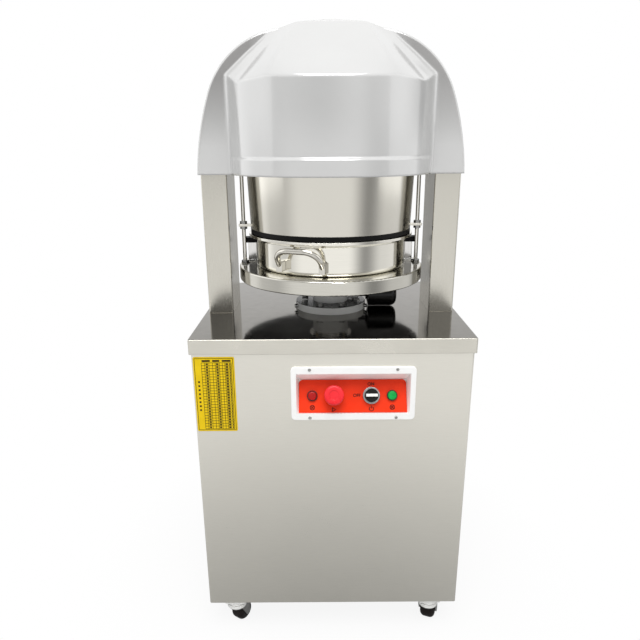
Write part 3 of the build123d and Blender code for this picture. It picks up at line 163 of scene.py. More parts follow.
# Base and drive: a frame welded from square tube on a floor plate, painted grey. Bolted to it are a cast worm
# gear unit with its flanged motor, painted blue-grey, a wiring box, and the hardened cam that lifts the ram
# on a roller.
frame_paint = moulded("grey_frame_paint", (0.16, 0.165, 0.175), (0.20, 0.205, 0.215), 0.45)
dress(frame_paint, "base_frame", "control_box")
gear_paint = moulded(
    "blue_grey_gear_paint", (0.10, 0.14, 0.19), (0.14, 0.18, 0.23), 0.5, scale=90.0, depth=0.0002
)
dress(gear_paint, "gearbox", "motor")
cam_steel = ground_steel(
    "hardened_cam_steel", (0.26, 0.27, 0.27), (0.38, 0.39, 0.39), 0.30, (60.0, 1.0, 60.0), scale=30.0
)
dress(cam_steel, "cam", "cam_roller")

# Cabinet: the front and both sides are one folded stainless sheet, belt ground from side to side, and the
# back is a louvred cover held by six cross-head screws, with a black moulded gland in it.
cabinet_sheet = ground_steel(
    "ground_cabinet_sheet", (0.71, 0.69, 0.625), (0.77, 0.75, 0.68), 0.33, (1.5, 1.5, 160.0), Metallic=0.9
)
dress(cabinet_sheet, "cabinet_shell", "rear_cover")
black_moulding = moulded("black_moulding", (0.006, 0.006, 0.006), (0.014, 0.014, 0.014), 0.36)
dress(black_moulding, "cable_gland", "contact_blocks")


def piece_from(name, points, faces, material, body, crease=None):
    """Makes one object from an array of points and a list of faces, and sets it on its body."""
    mesh = bpy.data.meshes.new(name)
    mesh.from_pydata(points.tolist(), [], faces)
    mesh.validate()
    mesh.materials.append(material)
    if crease is not None:
        mesh.shade_smooth()
        mesh.set_sharp_from_angle(angle=math.radians(crease))
    piece = bpy.data.objects.new(name, mesh)
    bpy.context.scene.collection.objects.link(piece)
    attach(piece, body)
    return piece


def turned(radii, heights, count):
    """A body turned about its axis: ring k has radius radii[k] at heights[k]. A point closes each end."""
    angle = np.linspace(0.0, 2.0 * math.pi, count, endpoint=False)
    level = np.repeat(np.asarray(heights)[:, None], count, axis=1)
    rings = np.stack([np.outer(radii, np.cos(angle)), np.outer(radii, np.sin(angle)), level], axis=-1)
    points = np.concatenate([[[0.0, 0.0, heights[0]]], rings.reshape(-1, 3), [[0.0, 0.0, heights[-1]]]])
    start = 1 + np.arange(len(radii))[:, None] * count
    here = np.arange(count)
    after = (here + 1) % count
    walls = np.stack([start[:-1] + here, start[:-1] + after, start[1:] + after, start[1:] + here], axis=-1)
    foot = np.stack([np.zeros(count, int), 1 + after, 1 + here], axis=-1)
    top = np.stack([np.full(count, len(points) - 1), start[-1] + here, start[-1] + after], axis=-1)
    return points, walls.reshape(-1, 4).tolist() + foot.tolist() + top.tolist()


def cross_screws(node, seats, head_radius, head_height, shank_radius, shank_length):
    """Pan-head screws for a node, each at a seat with its outward and sideways directions: a turned shank and
    a dome whose height is h times (1 - r^3)^(1/3), less a cross recess where a point lies close to two
    crossed lines. The recess's sizes are shares of the head's."""
    slot_half_width = 0.13
    slot_reach = 0.62
    slot_slope = 0.09
    slot_depth = 0.62
    reach = np.sin(np.linspace(1.0, 0.04, 15) * math.pi / 2)
    dome = head_height * (0.25 + 0.75 * (1.0 - reach**3) ** (1.0 / 3.0))
    radii = np.concatenate([[shank_radius, shank_radius, head_radius], head_radius * reach])
    heights = np.concatenate([[-shank_length, 0.0, 0.0], dome])
    points, faces = turned(radii, heights, 48)
    away = np.abs(points[:, :2]) / head_radius
    upright = np.maximum(away[:, 0] - slot_half_width, away[:, 1] - slot_reach)
    level = np.maximum(away[:, 1] - slot_half_width, away[:, 0] - slot_reach)
    recess = np.clip(0.5 - np.minimum(upright, level) / slot_slope, 0.0, 1.0)
    points[:, 2] -= slot_depth * head_height * (recess * (points[:, 2] > 0.3 * head_height))
    placed = [
        points @ np.array([across, np.cross(outward, across), outward], dtype=float) + place
        for place, outward, across in seats
    ]
    every = [[corner + len(points) * k for corner in face] for k in range(len(seats)) for face in faces]
    screws = piece_from(
        "cross_" + node, np.concatenate(placed), every, screw_zinc, "frame", crease=35.0
    )
    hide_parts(node)


screw_zinc = ground_steel(
    "plated_screw_steel", (0.34, 0.34, 0.33), (0.52, 0.52, 0.50), 0.28, (1.0, 1.0, 1.0), scale=300.0
)
cover_face = 0.2255
cover_screw_x = 0.2425
cover_screw_heights = (0.091, 0.34625, 0.6015)
cover_seats = [
    ((x, cover_face, z), (0, 1, 0), (0.8, 0, 0.6))
    for x in (-cover_screw_x, cover_screw_x)
    for z in cover_screw_heights
]
cross_screws(
    "rear_screws",
    cover_seats,
    head_radius=0.0042,
    head_height=0.0022,
    shank_radius=0.002,
    shank_length=0.0015,
)

# Table: a stainless tray turned over the cabinet, its corners welded and ground. The face is polished until
# it mirrors what stands on it, and the lip keeps the fine side-to-side grind of the cabinet. The face is
# coloured far darker than the lip: a painted dark reflection.


def facing(tree, start, end):
    """A factor from 0 to 1 as the surface turns from facing down to up, by the height of its normal."""
    coordinates = add_node(tree, "ShaderNodeTexCoord")
    parts = add_node(tree, "ShaderNodeSeparateXYZ")
    tree.links.new(coordinates.outputs["Normal"], parts.inputs["Vector"])
    return spread(tree, parts.outputs["Z"], 0.0, 1.0, start, end)


def steel_painted_by_facing(
    name, dull, bright, dull_rough, bright_rough, start, end, stretch, scale=40.0, metallic=1.0
):
    """Steel with two finishes: dull where the normal lies under the start height, bright above the end's.
    Each has its own colour, and the step between the two colours is painted light and shade.
    """
    material, tree, shader = finish_tree(name, Metallic=metallic)
    scratches = grain_noise(tree, stretch, scale)
    turn = facing(tree, start, end)
    low = two_tone(tree, scratches, dull[0], dull[1])
    high = two_tone(tree, scratches, bright[0], bright[1])
    blend = add_node(tree, "ShaderNodeMix")
    blend.data_type = "RGBA"
    tree.links.new(turn, blend.inputs[0])
    tree.links.new(low, blend.inputs[6])
    tree.links.new(high, blend.inputs[7])
    tree.links.new(blend.outputs[2], shader.inputs["Base Color"])
    gloss = spread(tree, turn, dull_rough, bright_rough, 0.0, 1.0)
    marks = spread(tree, grain_noise(tree, (1.0, 1.0, 1.0), 12.0, detail=3.0), 0.8, 1.25)
    tree.links.new(combine(tree, "MULTIPLY", gloss, marks), shader.inputs["Roughness"])
    soft_relief(tree, shader, scratches, 0.00002, 0.0012)
    return material


# Painted dark reflection: the table's face is coloured far darker than its lip.
table_steel = steel_painted_by_facing(
    "table_steel_painted_dark_reflection",
    ((0.61, 0.59, 0.53), (0.69, 0.67, 0.60)),
    ((0.188, 0.178, 0.160), (0.216, 0.204, 0.184)),
    dull_rough=0.30,
    bright_rough=0.09,
    start=0.6,
    end=0.9,
    stretch=(1.5, 1.5, 160.0),
)
dress(table_steel, "table_top")

# Lift guide: a cast flange and neck, turned round its sides, bored and bushed for the ram and bolted through
# the table by eight hexagon bolts. Its sides are coloured pale and left unmetallic, a painted bright
# reflection, and its top nearly black, a painted reflection of the platform's shaded underside. A knob on a
# screw clamps the ram, and the hollow ram itself is ground bright.
guide_steel = steel_painted_by_facing(
    "guide_steel_painted_reflections",
    ((0.82, 0.82, 0.80), (0.94, 0.94, 0.92)),
    ((0.06, 0.06, 0.058), (0.11, 0.11, 0.107)),
    dull_rough=0.38,
    bright_rough=0.20,
    start=0.5,
    end=0.85,
    stretch=(1.0, 1.0, 120.0),
    scale=30.0,
    metallic=0.0,
)
dress(guide_steel, "lift_guide")
bolt_steel = ground_steel(
    "dull_bolt_steel", (0.24, 0.24, 0.235), (0.40, 0.40, 0.39), 0.3, (1.0, 1.0, 1.0), scale=300.0, edge=0.0006
)
dress(bolt_steel, "guide_bolts", "platform_screws", "rod_nuts")
fastener_steel = ground_steel(
    "bright_fastener_steel",
    (0.50, 0.50, 0.49),
    (0.70, 0.70, 0.68),
    0.22,
    (1.0, 1.0, 1.0),
    scale=300.0,
    edge=0.0006,
)
dress(fastener_steel, "flange_screws")
bronze = ground_steel("bush_bronze", (0.50, 0.34, 0.14), (0.62, 0.44, 0.20), 0.3, (1.0, 1.0, 60.0))
dress(bronze, "guide_bush")
knob_black = moulded("black_clamp_knob", (0.003, 0.003, 0.003), (0.008, 0.008, 0.008), 0.30)
dress(knob_black, "clamp_knob")
bright_rod = ground_steel(
    "bright_rod_steel", (0.62, 0.61, 0.59), (0.75, 0.74, 0.72), 0.14, (80.0, 80.0, 1.0), edge=0.0004
)
dress(bright_rod, "lift_column")

# Columns and head: two square columns folded from ground stainless sheet stand on the table, and inside them
# painted posts carry a beam. The beam holds the knife carrier and the knives that cut the slab.
column_sheet = ground_steel(
    "ground_column_sheet", (0.58, 0.56, 0.50), (0.63, 0.61, 0.55), 0.24, (110.0, 110.0, 1.2), depth=0.00001
)
dress(column_sheet, "column_left", "column_right")
head_paint = moulded("grey_head_paint", (0.15, 0.155, 0.165), (0.19, 0.195, 0.205), 0.45)
dress(head_paint, "head_frame", "knife_carrier", "press_carrier")
knife_steel = ground_steel(
    "ground_knife_steel", (0.42, 0.42, 0.41), (0.56, 0.56, 0.55), 0.2, (1.0, 1.0, 90.0), scale=30.0
)
dress(knife_steel, "knife_rings", "knife_blades", "press_studs")
press_plastic = moulded("white_press_plastic", (0.72, 0.72, 0.70), (0.80, 0.80, 0.78), 0.4)
dress(press_plastic, "press_segments")

# Lift carriage: a turned platform on the ram, polished on top and round its rim and left dull underneath,
# where it is coloured nearly black as painted shade. Two bright rods tie it to the spun drum above, whose
# foot has a black rubber seal, and two bent stops with pads centre the pan.
platform_steel = steel_painted_by_facing(
    "platform_steel_painted_underside_shade",
    ((0.035, 0.035, 0.035), (0.060, 0.060, 0.060)),
    ((0.55, 0.535, 0.485), (0.61, 0.595, 0.54)),
    dull_rough=0.45,
    bright_rough=0.13,
    start=-0.6,
    end=-0.3,
    stretch=(1.0, 1.0, 90.0),
    scale=30.0,
)
dress(platform_steel, "platform")
dress(bright_rod, "tie_rods", "pan_stops")
drum_steel = ground_steel(
    "spun_drum_steel", (0.62, 0.60, 0.545), (0.65, 0.63, 0.57), 0.16, (1.0, 1.0, 260.0), 30.0, depth=0.00001
)
dress(drum_steel, "drum")
seal_rubber = moulded(
    "black_seal_rubber", (0.002, 0.002, 0.002), (0.005, 0.005, 0.005), 0.5, Specular_IOR_Level=0.12
)
dress(seal_rubber, "drum_seal", "stop_pads")

# Pan: spun from stainless and polished inside and out, with a rolled rim. Its two handles are bent from round
# bar, their ends flattened and welded to the wall.
pan_steel = ground_steel(
    "polished_pan_steel", (0.76, 0.74, 0.675), (0.81, 0.79, 0.72), 0.10, (1.0, 1.0, 90.0), 24.0, depth=0.00001
)
dress(pan_steel, "dough_pan")
handle_steel = ground_steel(
    "polished_handle_steel", (0.56, 0.54, 0.49), (0.64, 0.62, 0.565), 0.08, (1.0, 1.0, 1.0), scale=90.0
)
dress(handle_steel, "pan_handles")

# Hood: one shell of glossy white plastic formed over a mould, so every edge of its round front, its facets
# and its arch is soft. It stands over the head and both columns, stiffened by a stepped skirt, and four
# screws hold its sides.
hood_foot = 0.937
hood_half_width = 0.2595
hood_shoulder = (0.2315, 0.148)
hood_bow = (0.2510, 0.074)
hood_crown_end = (0.095, 0.257)
hood_top = 0.271
hood_wing = 0.062
hood_back = 0.208
hood_edge = 0.005
bulge_radius = 0.200
skirt_step = 0.005
skirt_height = 0.031
skirt_start = 0.004
skirt_fade = 0.012
ledge_width = 0.007
facet_foot = 0.162
plateau_height = 0.263
crown_height = 0.269
plateau_edge = (0.062, 0.025)
plateau_corner = (0.095, 0.040)
plateau_front = (0.088, 0.064)
facet_flatness = (0.08, 1.3)
strip_start = 0.6
strip_lift = 0.016
wing_fillet = 0.030
soft_inner = 0.0015
soft_outer = 0.0028
straight_height = 0.040
crease_reach = 0.113
crease_angle = math.asin(crease_reach / bulge_radius)
side_angle = math.acos(hood_wing / bulge_radius)


def circle_run(first, middle, last, count):
    """Points on the circle through three points: its centre is where their mid-perpendiculars cross."""
    first, middle, last = (np.asarray(point) for point in (first, middle, last))
    sides = np.array([middle - first, last - first])
    centre = np.linalg.solve(sides, 0.5 * np.sum(sides * (sides + 2.0 * first), axis=1))
    turns = [math.atan2(*(point - centre)[::-1]) for point in (first, middle, last)]
    sweep = np.unwrap(turns)
    angle = np.linspace(sweep[0], sweep[2], count)
    return centre + np.linalg.norm(first - centre) * np.stack([np.cos(angle), np.sin(angle)], axis=1)


def tangent_run(run, last, count):
    """Points on the circle that leaves a run in its own direction and ends at the last point."""
    along = run[-1] - run[-2]
    normal = np.array([-along[1], along[0]]) / np.linalg.norm(along)
    reach = np.asarray(last) - run[-1]
    centre = run[-1] + normal * (reach @ reach) / (2.0 * normal @ reach)
    ends = (run[-1], np.asarray(last))
    sweep = np.unwrap([math.atan2(*(point - centre)[::-1]) for point in ends])
    angle = np.linspace(sweep[0], sweep[1], count)
    radius = np.linalg.norm(reach - (centre - run[-1]))
    return centre + radius * np.stack([np.cos(angle), np.sin(angle)], axis=1)


def arch_outline():
    """The hood's outline seen from the front, left foot to right foot: on each side a bowed wall and a
    tangent shoulder, and one crown between them."""
    side = circle_run((hood_half_width, 0.0), hood_bow, hood_shoulder, 120)
    shoulder = tangent_run(side, hood_crown_end, 120)
    crown = circle_run(hood_crown_end, (0.0, hood_top), (-hood_crown_end[0], hood_crown_end[1]), 121)
    right = np.concatenate([side, shoulder[1:], crown[1:61]])
    return np.concatenate([right * (-1.0, 1.0), right[-2::-1]])


def hood_depth(x, z):
    """How far the front stands out at a place. Each level is a curve over the angle a: the bulge's circle,
    flattened in the middle, blends straight into the plateau's three edges from the shoulder up, and those
    into the crown's. The shoulder climbs along an outer strip. The angle whose x is the place's x is found by
    halving, and the bulge's own cylinder cuts the facets off. Where the bulge runs out, the larger of its
    depth d and the wing's w has a fillet: max(d, w) + k (1 - |d - w| / k)^2 / 4."""
    above = np.clip((z - facet_foot) / (plateau_height - facet_foot), 0.0, 1.0)
    close = np.clip((z - plateau_height) / (crown_height - plateau_height), 0.0, 1.0)
    edge, corner, front = (
        at_plateau + (at_crown - at_plateau) * close
        for at_plateau, at_crown in (plateau_edge, plateau_corner, plateau_front)
    )

    def curve(angle):
        past = np.clip((angle - crease_angle) / (side_angle - crease_angle), 0.0, 1.0)
        foot = facet_foot + strip_lift * np.clip((past - strip_start) / (1.0 - strip_start), 0.0, 1.0)
        rise = np.clip((z - foot) / (plateau_height - foot), 0.0, 1.0)
        middle = np.minimum(angle, crease_angle)
        top_x = edge * np.sin(middle) / math.sin(crease_angle) + (corner - edge) * past
        top_y = front + (hood_wing - front) * past
        share = facet_flatness[0] + facet_flatness[1] * rise
        flatter = share * bulge_radius * (1.0 - np.cos(middle)) * (1.0 - past) ** 3
        across = (1.0 - rise) * bulge_radius * np.sin(angle) + rise * top_x
        out = (1.0 - rise) * (bulge_radius * np.cos(angle) + flatter) + rise * top_y
        return across, out

    low = np.zeros_like(x)
    high = np.full_like(x, math.pi / 2)
    for _ in range(30):
        middle = (low + high) / 2.0
        inside = curve(middle)[0] < np.abs(x)
        low = np.where(inside, middle, low)
        high = np.where(inside, high, middle)
    beyond = (np.abs(x) > curve(np.full_like(x, math.pi / 2))[0]) | (z > crown_height)
    cylinder = np.sqrt(np.maximum(bulge_radius**2 - x * x, 0.0))
    bulge = np.where(beyond, 0.0, np.minimum(curve(low)[1], cylinder))
    fillet = np.minimum(wing_fillet, 0.95 * (1.0 - above) * hood_wing) + 1e-6
    near = np.clip(1.0 - np.abs(bulge - hood_wing) / fillet, 0.0, 1.0)
    return np.maximum(bulge, hood_wing) + fillet * near * near / 4.0


def soft_front(x, z):
    """The front's depth averaged over a small disc, which rounds its creases, with the skirt's step added."""
    spokes = 14
    turn = np.arange(spokes) * 2.0 * math.pi / spokes
    reach = np.concatenate([[0.0], np.full(spokes, soft_inner), np.full(spokes, soft_outer)])
    turn = np.concatenate([[0.0], turn, turn + math.pi / spokes])
    total = np.zeros_like(x)
    for radius, angle in zip(reach, turn):
        total += hood_depth(x + radius * math.cos(angle), z + radius * math.sin(angle))
    depth = total / len(reach)
    outside = np.clip((depth - hood_wing - skirt_start) / skirt_fade, 0.0, 1.0)
    ledge = np.clip((skirt_height + ledge_width / 2.0 - z) / ledge_width, 0.0, 1.0)
    return depth + skirt_step * outside * ledge * ledge * (3.0 - 2.0 * ledge)


def hood_shell():
    """Rows of the front are straight across near the foot, and a Coons patch of the arch above. From the
    patch's edge the shell turns back in a quarter circle, runs to the rear, turns in again and closes with a
    flat back."""
    outline = arch_outline()
    along = np.gradient(outline, axis=0)
    outward = np.stack([-along[:, 1], along[:, 0]], axis=1) / np.linalg.norm(along, axis=1)[:, None]
    inner = outline - hood_edge * outward
    inner[:, 1] = np.maximum(inner[:, 1], 0.0)
    length = np.concatenate([[0.0], np.cumsum(np.linalg.norm(np.diff(outline, axis=0), axis=1))])
    climb = slice(0, 180)
    foot_end = np.interp(straight_height, outline[climb, 1], length[climb])
    corner = 0.33 * length[-1]
    coarse = np.arange(0.0, 0.026, 0.0035)
    across_ledge = np.arange(0.026, 0.037, 0.0006)
    foot_heights = np.concatenate([coarse, across_ledge, [0.0385]])
    foot_rows = np.interp(foot_heights, outline[climb, 1], length[climb])
    upper_rows = np.linspace(foot_end, corner, 120)
    rows = np.concatenate([foot_rows, upper_rows])
    half = np.concatenate(
        [np.linspace(0.0, 0.64, 62), np.linspace(0.64, 0.80, 36)[1:], np.linspace(0.80, 1.0, 12)[1:]]
    )
    share = (np.concatenate([-half[::-1], half[1:]]) + 1.0) / 2.0
    crossing = corner + (length[-1] - 2.0 * corner) * share

    def at(curve, where):
        columns = [np.interp(where, length, curve[:, axis]) for axis in (0, 1)]
        return np.stack(columns, axis=-1)

    left, right = at(inner, rows), at(inner, length[-1] - rows)
    count = len(foot_rows)
    low_band = left[:count, None] + (right - left)[:count, None] * share[None, :, None]
    lift = ((upper_rows - foot_end) / (corner - foot_end))[:, None, None]
    top = at(inner, crossing)[None]
    side = left[count:, None] + (right - left)[count:, None] * share[None, :, None]
    roof = left[-1] + (right[-1] - left[-1]) * share[:, None]
    patch = side + lift * (top - roof[None])
    front = np.concatenate([low_band, patch])
    depth = soft_front(front[..., 0], front[..., 1])
    points = np.stack([front[..., 0], -depth, front[..., 1] + hood_foot], axis=-1)
    high, wide = front.shape[:2]
    index = np.arange(high * wide).reshape(high, wide)
    faces = np.stack([index[:-1, :-1], index[:-1, 1:], index[1:, 1:], index[1:, :-1]], axis=-1).reshape(-1, 4)

    rim = np.concatenate([index[:, 0], index[-1, 1:-1], index[::-1, -1]])
    where = np.concatenate([rows, crossing[1:-1], length[-1] - rows[::-1]])
    place, normal = at(outline, where), at(outward, where)
    turn = np.linspace(0.0, math.pi / 2, 8)
    inset = hood_edge * np.concatenate([1.0 - np.sin(turn[1:]), np.zeros(7), 1.0 - np.cos(turn[1:])])
    run = np.linspace(hood_edge - hood_wing, hood_back - hood_edge, 9)[1:-1]
    front_turn = hood_edge * (1.0 - np.cos(turn[1:])) - hood_wing
    rear_turn = hood_back - hood_edge * (1.0 - np.sin(turn[1:]))
    level = np.concatenate([front_turn, run, rear_turn])
    ring = place[None] - inset[:, None, None] * normal[None]
    ring[..., 1] = np.maximum(ring[..., 1], 0.0)
    depth_row = np.repeat(level[:, None], len(where), axis=1)
    wall = np.stack([ring[..., 0], depth_row, ring[..., 1] + hood_foot], axis=-1)
    added = index.size + np.arange(wall[..., 0].size).reshape(wall.shape[:2])
    strip = np.concatenate([rim[None], added])
    bands = np.stack([strip[:-1, :-1], strip[:-1, 1:], strip[1:, 1:], strip[1:, :-1]], axis=-1).reshape(-1, 4)
    every = np.concatenate([points.reshape(-1, 3), wall.reshape(-1, 3)])
    return every, faces.tolist() + bands.tolist() + [strip[-1].tolist()]


def painted_wing_shade(material, grey):
    """Painted shade: mixes grey into a finish where it faces the front, high up and far out from the middle.
    """
    tree = material.node_tree
    shader = tree.nodes["Principled BSDF"]
    coordinates = add_node(tree, "ShaderNodeTexCoord")
    place = add_node(tree, "ShaderNodeSeparateXYZ")
    normal = add_node(tree, "ShaderNodeSeparateXYZ")
    tree.links.new(coordinates.outputs["Object"], place.inputs["Vector"])
    tree.links.new(coordinates.outputs["Normal"], normal.inputs["Vector"])
    forward = spread(tree, normal.outputs["Y"], 1.0, 0.0, -0.995, -0.93)
    upper = spread(tree, place.outputs["Z"], 0.0, 1.0, 0.99, 1.11)
    outer = spread(tree, combine(tree, "ABSOLUTE", place.outputs["X"], 0.0), 0.0, 1.0, 0.10, 0.15)
    blend = add_node(tree, "ShaderNodeMix")
    blend.data_type = "RGBA"
    blend.inputs[7].default_value = (*grey, 1.0)
    share = combine(tree, "MULTIPLY", combine(tree, "MULTIPLY", forward, upper), outer)
    tree.links.new(share, blend.inputs[0])
    tree.links.new(shader.inputs["Base Color"].links[0].from_socket, blend.inputs[6])
    tree.links.new(blend.outputs[2], shader.inputs["Base Color"])


hood_gloss = moulded(
    "white_hood_plastic",
    (0.50, 0.50, 0.495),
    (0.52, 0.52, 0.515),
    0.16,
    scale=7.0,
    edge=0.0005,
    depth=0.00002,
    Coat_Weight=1.0,
    Coat_Roughness=0.10,
    Coat_IOR=1.9,
)
# Painted shade: the hood's flat wings turn greyer high up and far out from the middle.
painted_wing_shade(hood_gloss, (0.31, 0.305, 0.30))
hood_points, hood_faces = hood_shell()
hood = piece_from("hood_shell", hood_points, hood_faces, hood_gloss, "frame", crease=50.0)
wall = hood.modifiers.new("wall", "SOLIDIFY")
wall.thickness = 0.003
wall.offset = -1.0
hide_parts("hood")
hood_screw_x = 0.2592
hood_screw_y = 0.030
hood_screw_height = 0.949
hood_seats = [
    ((side * hood_screw_x, y, hood_screw_height), (side, 0, 0), (0, 0.8, 0.6))
    for side in (-1, 1)
    for y in (-hood_screw_y, hood_screw_y)
]
cross_screws(
    "hood_screws",
    hood_seats,
    head_radius=0.0042,
    head_height=0.0010,
    shank_radius=0.002,
    shank_length=0.0072,
)

# Control panel: a white moulded frame set into the cabinet, with a sloping plate of sheet painted orange-red
# at the back of its tub. Four cross-head screws hold the frame.
panel_white = moulded("white_panel_moulding", (0.94, 0.94, 0.93), (0.97, 0.97, 0.96), 0.22, edge=0.0015)
dress(panel_white, "panel_frame")
panel_paint = moulded(
    "orange_red_plate_paint",
    (0.90, 0.036, 0.004),
    (0.95, 0.046, 0.008),
    0.34,
    scale=25.0,
    Specular_IOR_Level=0.2,
)
dress(panel_paint, "panel_plate")
panel_face = -0.228
panel_screw_places = (-0.043, 0.119)
panel_screw_heights = (0.500, 0.597)
panel_seats = [
    ((x, panel_face, z), (0, -1, 0), (0.6, 0, 0.8)) for x in panel_screw_places for z in panel_screw_heights
]
cross_screws(
    "panel_screws",
    panel_seats,
    head_radius=0.003,
    head_height=0.0016,
    shank_radius=0.0015,
    shank_length=0.004,
)

# Devices on the panel: two pilot lamps in dark bezels, a red mushroom button on a dark red collar that starts
# a cycle, and a two-place selector in a plated ring, black with a white pointer let into its grip.
dress(black_moulding, "lamp_bezels")
lens_red = moulded("red_lamp_lens", (0.38, 0.003, 0.003), (0.52, 0.006, 0.005), 0.16, Specular_IOR_Level=0.3)
dress(lens_red, "red_lens")
lens_green = moulded(
    "green_lamp_lens", (0.000, 0.33, 0.05), (0.002, 0.44, 0.08), 0.16, Specular_IOR_Level=0.3
)
dress(lens_green, "green_lens")
button_red = moulded("red_button_moulding", (0.78, 0.008, 0.016), (0.86, 0.014, 0.024), 0.30)
dress(button_red, "start_button")
collar_red = moulded("dark_red_collar", (0.20, 0.02, 0.015), (0.26, 0.03, 0.02), 0.4)
dress(collar_red, "start_collar")
ring_plate = ground_steel(
    "plated_selector_ring", (0.30, 0.30, 0.30), (0.46, 0.46, 0.46), 0.24, (1.0, 1.0, 1.0), scale=200.0
)
dress(ring_plate, "selector_bezel")
selector_black = moulded(
    "black_selector_knob", (0.003, 0.003, 0.003), (0.007, 0.007, 0.007), 0.3, Specular_IOR_Level=0.25
)
dress(selector_black, "selector_knob")
plate_foot = np.array([0.038, -0.225, 0.5085])
plate_tilt = math.radians(27.0)
plate_up = (0.0, math.sin(plate_tilt), math.cos(plate_tilt))
plate_out = (0.0, -math.cos(plate_tilt), math.sin(plate_tilt))
plate_axes = np.array([(1.0, 0.0, 0.0), plate_up, plate_out])
device_rise = 0.032
selector_x = 0.035
pointer_size = (0.0218, 0.0052)
pointer_top = 0.0184
pointer_sink = 0.0008
pointer_proud = 0.0003


def raised_boxes(centres, sizes, low, high):
    """Flat boxes: a corner is its centre plus or minus half its size, at the height low or high."""
    lap = [(-1, -1), (1, -1), (1, 1), (-1, 1)]
    signs = np.array([(*corner, level) for level in (0, 1) for corner in lap])
    half = np.asarray(sizes, dtype=float)[:, None, :] / 2.0
    flat = np.asarray(centres, dtype=float)[:, None, :] + half * signs[None, :, :2]
    height = np.repeat((low + (high - low) * signs[None, :, 2]), len(flat), axis=0)
    points = np.concatenate([flat, height[..., None]], axis=2).reshape(-1, 3)
    quads = np.array([[0, 3, 2, 1], [4, 5, 6, 7], [0, 1, 5, 4], [1, 2, 6, 5], [2, 3, 7, 6], [3, 0, 4, 7]])
    faces = (np.arange(len(flat))[:, None, None] * 8 + quads[None]).reshape(-1, 4)
    return points, faces


pointer_white = moulded("white_pointer_insert", (0.82, 0.82, 0.80), (0.88, 0.88, 0.86), 0.35)
points, faces = raised_boxes(
    [(selector_x, device_rise)], [pointer_size], pointer_top - pointer_sink, pointer_top + pointer_proud
)
pointer_points = points @ plate_axes + plate_foot
piece_from("selector_pointer", pointer_points, faces.tolist(), pointer_white, "selector")

# Print on the panel: signs in black ink screen-printed on the plate, a crossed circle under each lamp, an
# arrow head under the button, a power sign under the selector, and ON and OFF at the selector's two places.
ink_film = 0.00012
print_ink = moulded(
    "black_print_ink", (0.004, 0.003, 0.003), (0.010, 0.007, 0.006), 0.5, scale=300.0, Specular_IOR_Level=0.2
)


def inked_line(path, width, closed=False):
    """A film of ink along a path: at each station four corners stand half the width to either side of the
    path's own direction, at the foot and the top of the film."""
    path = np.asarray(path, dtype=float)
    ahead = np.roll(path, -1, axis=0) - np.roll(path, 1, axis=0) if closed else np.gradient(path, axis=0)
    across = np.stack([-ahead[:, 1], ahead[:, 0]], axis=1) / np.linalg.norm(ahead, axis=1)[:, None]
    side = across * width / 2.0
    count = len(path)
    low, high = np.zeros((count, 1)), np.full((count, 1), ink_film)
    corners = [np.hstack([path + side, low]), np.hstack([path - side, low]), np.hstack([path - side, high])]
    points = np.stack([*corners, np.hstack([path + side, high])], axis=1).reshape(-1, 3)
    here = np.arange(count if closed else count - 1)[:, None] * 4
    after = (here + 4) % (4 * count)
    lap = np.arange(4)
    turn = (lap + 1) % 4
    faces = np.stack([here + lap, after + lap, after + turn, here + turn], axis=-1).reshape(-1, 4).tolist()
    if not closed:
        faces += [[0, 1, 2, 3], [4 * count - 1, 4 * count - 2, 4 * count - 3, 4 * count - 4]]
    return points, faces


def inked_word(word, height):
    """The outline of a word as a film of ink, centred on its place."""
    curve = bpy.data.curves.new(word, "FONT")
    curve.body = word
    curve.size = height * 1.4
    curve.align_x = "CENTER"
    curve.align_y = "CENTER"
    curve.extrude = ink_film / 2.0
    curve.offset = height * 0.035
    holder = bpy.data.objects.new(word, curve)
    mesh = bpy.data.meshes.new_from_object(holder)
    points = np.empty(len(mesh.vertices) * 3)
    mesh.vertices.foreach_get("co", points)
    faces = [list(polygon.vertices) for polygon in mesh.polygons]
    bpy.data.objects.remove(holder)
    bpy.data.meshes.remove(mesh)
    bpy.data.curves.remove(curve)
    return points.reshape(-1, 3) + (0.0, 0.0, ink_film / 2.0), faces


def gathered(films):
    """Joins films, each moved to its own place, into one array of points and one list of faces."""
    points, faces, count = [], [], 0
    for (film_points, film_faces), place in films:
        points.append(film_points + (*place, 0.0))
        faces += [[corner + count for corner in face] for face in film_faces]
        count += len(film_points)
    return np.concatenate(points), faces


lamp_places = (-0.0765, 0.0743)
button_x = -0.0357
lamp_sign_y = 0.0100
button_sign_y = 0.0062
power_sign_y = 0.0072
ring_radius = 0.0042
power_radius = 0.0040
sign_line = 0.0014
power_line = 0.0012
arrow_back = -0.0030
arrow_tip = 0.0034
arrow_half = 0.0036
power_bar = [(0.0, 0.0006), (0.0, 0.0052)]
word_height = 0.0058
on_place = (selector_x, 0.0536)
off_place = (0.0078, 0.0322)
round_turn = np.linspace(0.0, 2.0 * math.pi, 36, endpoint=False)
lamp_ring = ring_radius * np.stack([np.cos(round_turn), np.sin(round_turn)], axis=1)
open_turn = np.linspace(math.radians(125.0), math.radians(415.0), 30)
open_ring = power_radius * np.stack([np.cos(open_turn), np.sin(open_turn)], axis=1)
arm = ring_radius * math.sqrt(0.5)
films = []
for lamp_x in lamp_places:
    films += [
        (inked_line(lamp_ring, sign_line, closed=True), (lamp_x, lamp_sign_y)),
        (inked_line([(-arm, -arm), (arm, arm)], sign_line), (lamp_x, lamp_sign_y)),
        (inked_line([(-arm, arm), (arm, -arm)], sign_line), (lamp_x, lamp_sign_y)),
    ]
arrow_sides = [(arrow_back, -arrow_half), (arrow_tip, 0.0), (arrow_back, arrow_half)]
